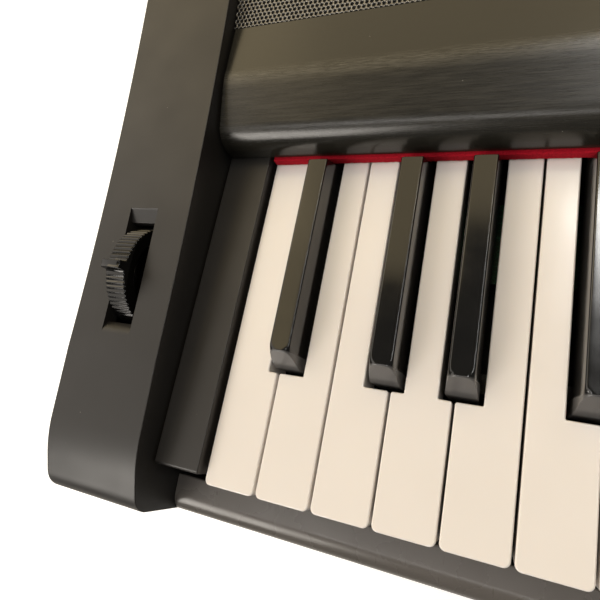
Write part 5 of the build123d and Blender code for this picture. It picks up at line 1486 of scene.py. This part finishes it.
class PIANO_OT_bend_wheel(bpy.types.Operator):
    """Ribbed wheel with a raised ridge and dished sides"""

    bl_idname = "piano.bend_wheel"
    bl_label = "Bend wheel"

    def execute(self, context):
        sizes = context.scene.piano_wheel
        material = wheel_plastic("wheel plastic", context.scene.piano_finishes.wheel)
        radius = sizes.radius
        section = self.section(sizes.width, radius)
        turns = np.concatenate([np.arange(-8.0, 8.0, 0.125), np.arange(8.0, 352.0, 0.625)])
        rings = []
        for turn in turns.tolist():
            reach = wheel_reach(turn, sizes) - radius
            a = radians(turn + 90.0)
            ring = []
            for x, r, share in section:
                far = r + reach * share
                ring.append((x, -far * cos(a), far * sin(a)))
            rings.append(ring)
        shape = skin(rings, closed=True)
        centre = Matrix.Translation((SLOT_X[0] + WHEEL_GAP, *WHEEL_CENTRE))
        place = centre @ Matrix.Rotation(WHEEL_TURN, 4, "X")
        dress("bend_wheel", moved(shape, place), material, angle=40.0)
        carrier = plain_plastic("carrier plastic", (0.02, 0.02, 0.02), 0.5)
        repaint("wheel_holder", carrier)
        steel = plated_steel("plated steel", (0.56, 0.56, 0.57))
        repaint("wheel_axle", steel)
        repaint("wheel_spring", steel)
        return {"FINISHED"}

    def section(self, width, radius):
        """Places across the wheel, their radius, and their share of the rim's ribs and ridge."""
        small, corner = 0.3, 0.75
        web = width - 5.0
        rim = [(small * (1 - c), radius - small * (1 - s), 1.0) for c, s in arc(3)]
        rim.append((width / 2, radius + 0.05, 1.0))
        rim += [
            (width - corner * (1 - s), radius - corner * (1 - c), 0.8 + 0.2 * c) for c, s in arc(5)
        ]
        side = [(width, radius - 2.4), (width, 18.3), (width - 0.15, 17.8), (width - 0.7, 17.3)]
        side += [(width - 4.5, 16.8), (web, 16.3), (web, 13.2)]
        side += [(web + 0.65 * s, 12.5 + 0.65 * c) for c, s in arc(6, pi)]
        side += [(web, 7.6), (width - 4.6, 7.1), (width - 0.5, 6.8), (width, 6.3), (width, 2.55)]
        inner = [(0.0, 2.55), (0.0, 16.5), (0.0, radius - 2.4)]
        return [(x, r, 0.0) for x, r in inner] + rim + [(x, r, 0.0) for x, r in side]


# ---- controls -------------------------------------------------------------------------------
class PIANO_OT_controls(bpy.types.Operator):
    """Volume knob, data dial, power button and two banks of buttons"""

    bl_idname = "piano.controls"
    bl_label = "Controls"

    def execute(self, context):
        tint = context.scene.piano_finishes.control
        material = plain_plastic("control plastic", tint, 0.4, 0.8)
        self.knob("volume_knob", KNOB_X, 12.0, 14.0, 30, material)
        self.knob("data_dial", DIAL_X, 21.0, 7.0, 60, material)
        foot = [(0.0, -4.5), (POWER_RADIUS - 0.1, -4.5), (POWER_RADIUS, -4.4)]
        rim = [(POWER_RADIUS, 1.0), (5.6, 1.4), (4.6, 1.5), (4.2, 1.2)]
        button = lathe([*foot, *rim, (0.0, 1.1)], 48)
        place = DECK @ Matrix.Translation((POWER_X, 0.0, 0.0))
        dress("power_button", moved(button, place), material)
        for side, name in ((-1, "buttons_left"), (1, "buttons_right")):
            caps = []
            for u, v in BUTTON_PLACES:
                cap = rectangle(*CAP_SIZE, 1.2, side * u, v)
                caps.append(on_deck(plate(cap, -4.5, 1.5, 0.2, 0.7, steps=4)))
            dress(name, joined(*caps), material)
        return {"FINISHED"}

    def knob(self, node, x, radius, height, ribs, material):
        """A turned knob with a fluted skirt, a dished top and a groove that points."""
        profile = [
            (STEM_RADIUS, -8.4, 0.0),
            (STEM_RADIUS, 0.8, 0.0),
            (radius - 1.0, 0.8, 0.0),
            (radius, 1.2, 0.3),
            (radius, 2.0, 1.0),
            (radius * 0.96, height - 0.4, 1.0),
            (radius * 0.93, height + 0.4, 0.4),
            (radius * 0.88, height + 0.8, 0.0),
            (radius * 0.80, height + 0.75, 0.0),
            (radius * 0.70, height + 0.45, 0.0),
            (0.3, height + 0.25, 0.0),
            (0.3, -8.4, 0.0),
        ]
        rings = []
        steps = ribs * 8
        for k, (c, s) in enumerate(whole_turn(steps)):
            flute = 0.22 * (1 - cos(ribs * (2 * pi * k / steps)))
            radii = [r - flute * share for r, _, share in profile]
            rings.append([(r * c, r * s, row[1]) for r, row in zip(radii, profile)])
        core = plate(circle(0.35, 12), -8.4, height + 0.25)
        body = mesh_object(f"{node}_cover", joined(skin(rings, closed=True), core), Matrix())
        groove = box(-0.45, 0.45, radius * 0.35, radius * 0.86, height, height + 3.0)
        carve(body, [groove], Matrix())
        body.data.transform(KEYS @ DECK @ Matrix.Translation((x, 0.0, 0.0)))
        finish_cover(body, node, material, 40.0)


def lathe(section, steps):
    """A (radius, height) section that starts and ends on the axis, turned round Z."""
    inner = section[1:-1]
    points = [(r * c, r * s, h) for c, s in whole_turn(steps) for r, h in inner]
    count = len(inner)
    low = len(points)
    points += [(0.0, 0.0, section[0][1]), (0.0, 0.0, section[-1][1])]
    starts = [(k * count, (k + 1) % steps * count) for k in range(steps)]
    faces = [
        (here + i, there + i, there + i + 1, here + i + 1)
        for here, there in starts
        for i in range(count - 1)
    ]
    for here, there in starts:
        faces += [(low, there, here), (low + 1, here + count - 1, there + count - 1)]
    return points, faces


# ---- music rest -----------------------------------------------------------------------------
class PIANO_OT_music_rest(bpy.types.Operator):
    """Leaning board with a ledge and two tongues"""

    bl_idname = "piano.music_rest"
    bl_label = "Music rest"

    def execute(self, context):
        casing = context.scene.piano_finishes.casing
        material = satin_plastic("rest plastic", shade(casing, 0.9), roughness=0.45)
        half, high = 260.0, 178.0
        board = [(-half, 0.0, 2.0), (half, 0.0, 2.0), (half, high, 18.0), (-half, high, 18.0)]
        shapes = [plate(rounded(board, 10), -2.5, 2.5, 0.9, 0.9, lengthways)]
        lift = 20.0 * tan(REST_LEAN)
        ledge = [(-22.4, lift, 1.5), (-1.0, lift, 0.0), (-1.0, lift + 5.0, 0.0)]
        ledge += [(-19.5, lift + 5.0, 1.0), (-20.0, lift + 9.0, 1.1), (-22.4, lift + 9.0, 1.1)]
        shapes.append(plate(rounded(ledge, 4), 1.0 - half, half - 1.0, 1.0, 1.0, sideways))
        u, v = TONGUE_HALF
        shapes += [box(x - u, x + u, -v, v, -14.0, 1.0, 0.4) for x in TONGUE_PLACES]
        shape = moved(joined(*shapes), REST)
        dress("music_rest", shape, material)
        return {"FINISHED"}


# ---- stand ----------------------------------------------------------------------------------
def slab(low, high, rim):
    """A board that fills a box of the frame, which is in metres."""
    low, high = low / MM, high / MM
    return box(low.x, high.x, low.y, high.y, low.z, high.z, rim)


class PIANO_OT_stand(bpy.types.Operator):
    """Side boards, foot rails and back board in black laminate, with their hardware"""

    bl_idname = "piano.stand"
    bl_label = "Stand"

    def execute(self, context):
        tint = context.scene.piano_finishes.board
        upright = laminate("laminate upright", tint, "Z")
        level = laminate("laminate level", tint, "X")
        foot_finish = laminate("laminate foot", tint, "Y")
        low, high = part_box("stand_side_left")
        self.pair("side", slab(low, high, 1.4), upright)
        low, high = (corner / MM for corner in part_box("stand_foot_left"))
        corners = [(low.y, low.z, 3.2), (high.y, low.z, 3.2)]
        corners += [(high.y, high.z, 9.0), (low.y, high.z, 9.0)]
        foot = plate(rounded(corners, 6), low.x, high.x, 3.0, 3.0, sideways, 4)
        self.pair("foot", foot, foot_finish)
        back = slab(*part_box("stand_back_board"), 1.2)
        dress("stand_back_board", back, level, FLOOR)
        self.hardware()
        return {"FINISHED"}

    def pair(self, part, left, material):
        """The left piece and its mirror image on the right."""
        for side, shape in (("left", left), ("right", mirrored(left, 0.0))):
            dress(f"stand_{part}_{side}", shape, material, FLOOR)

    def hardware(self):
        """Brackets, screws and glides, and the lobed hand screws under the case."""
        steel = enamelled_steel("bracket enamel", (0.045, 0.045, 0.045), 0.42)
        repaint("stand_brackets", steel)
        repaint("stand_screws", enamelled_steel("screw black", (0.06, 0.06, 0.062), 0.38))
        repaint("foot_glides", moulded_rubber("glide rubber", (0.03, 0.03, 0.03)))
        knob = plain_plastic("hand screw plastic", (0.03, 0.03, 0.03), 0.45)
        low, high = (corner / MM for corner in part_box("clamp_screws"))
        x = -low.x - 14.0
        clamps = []
        for y in (-110.0, 110.0):
            lobes = []
            for k, (c, s) in enumerate(whole_turn(96)):
                radius = 13.1 + 0.9 * cos(6 * (2 * pi * k / 96))
                lobes.append(Vector((x + radius * c, y + radius * s)))
            clamps.append(plate(lobes, low.z, low.z + 14.0, 1.8, 1.2, steps=4))
            clamps.append(plate(circle(3.0, 24, x, y), low.z + 13.0, high.z, 0.0, 0.5))
        right = joined(*clamps)
        dress("clamp_screws", joined(right, mirrored(right, 0.0)), knob, FLOOR)


# ---- hidden mechanism and electronics -------------------------------------------------------
class PIANO_OT_mechanism(bpy.types.Operator):
    """Finishes of the key bed, springs, felts, boards and speakers inside the case"""

    bl_idname = "piano.mechanism"
    bl_label = "Mechanism"

    def execute(self, context):
        steel = plated_steel("spring steel", (0.5, 0.5, 0.51))
        board = circuit_board("solder resist", (0.02, 0.12, 0.05))
        cone = moulded_rubber("speaker cone", (0.012, 0.012, 0.013))
        chassis = plain_plastic("chassis plastic", (0.02, 0.02, 0.02), 0.5)
        finishes = {
            "key_chassis": chassis,
            "pivot_rod": steel,
            "key_springs": steel,
            "key_felts": wool_felt("grey wool felt", (0.25, 0.25, 0.24)),
            "contact_board": board,
            "main_board": board,
            "control_board": board,
            "contact_domes": moulded_rubber("contact rubber", (0.22, 0.22, 0.23)),
            "speaker_left": cone,
            "speaker_right": cone,
        }
        for node, material in finishes.items():
            repaint(node, material)
        return {"FINISHED"}


# ---- add-on ---------------------------------------------------------------------------------
OPERATORS = (
    PIANO_OT_stage,
    PIANO_OT_white_keys,
    PIANO_OT_black_keys,
    PIANO_OT_casing,
    PIANO_OT_felt,
    PIANO_OT_top_panel,
    PIANO_OT_grilles,
    PIANO_OT_bend_wheel,
    PIANO_OT_controls,
    PIANO_OT_music_rest,
    PIANO_OT_stand,
    PIANO_OT_mechanism,
)


class PIANO_PT_pieces(bpy.types.Panel):
    """Sizes, finishes and one button for each group of pieces"""

    bl_idname = "PIANO_PT_pieces"
    bl_label = "Digital piano"
    bl_space_type = "VIEW_3D"
    bl_region_type = "UI"
    bl_category = "Piano"

    def draw(self, context):
        scene = context.scene
        for operator in OPERATORS:
            self.layout.operator(operator.bl_idname)
        for name in SETTINGS:
            group = getattr(scene, name)
            column = self.layout.column(heading=name.replace("_", " "))
            for key in group.bl_rna.properties.keys():
                if key not in ("rna_type", "name"):
                    column.prop(group, key)


SETTINGS = {
    "piano_finishes": PianoFinishes,
    "piano_keys": PianoKeySizes,
    "piano_wheel": PianoWheelSizes,
    "piano_grille": PianoGrilleSizes,
    "piano_stage": PianoStageSizes,
}


def register():
    for settings in SETTINGS.values():
        bpy.utils.register_class(settings)
    for name, settings in SETTINGS.items():
        setattr(bpy.types.Scene, name, PointerProperty(type=settings))
    for operator in OPERATORS:
        bpy.utils.register_class(operator)
    bpy.utils.register_class(PIANO_PT_pieces)


def unregister():
    bpy.utils.unregister_class(PIANO_PT_pieces)
    for operator in reversed(OPERATORS):
        bpy.utils.unregister_class(operator)
    for name, settings in SETTINGS.items():
        delattr(bpy.types.Scene, name)
        bpy.utils.unregister_class(settings)


def main():
    register()
    for operator in OPERATORS:
        name = operator.bl_idname.split(".")[1]
        getattr(bpy.ops.piano, name)()


if __name__ == "__main__":
    main()
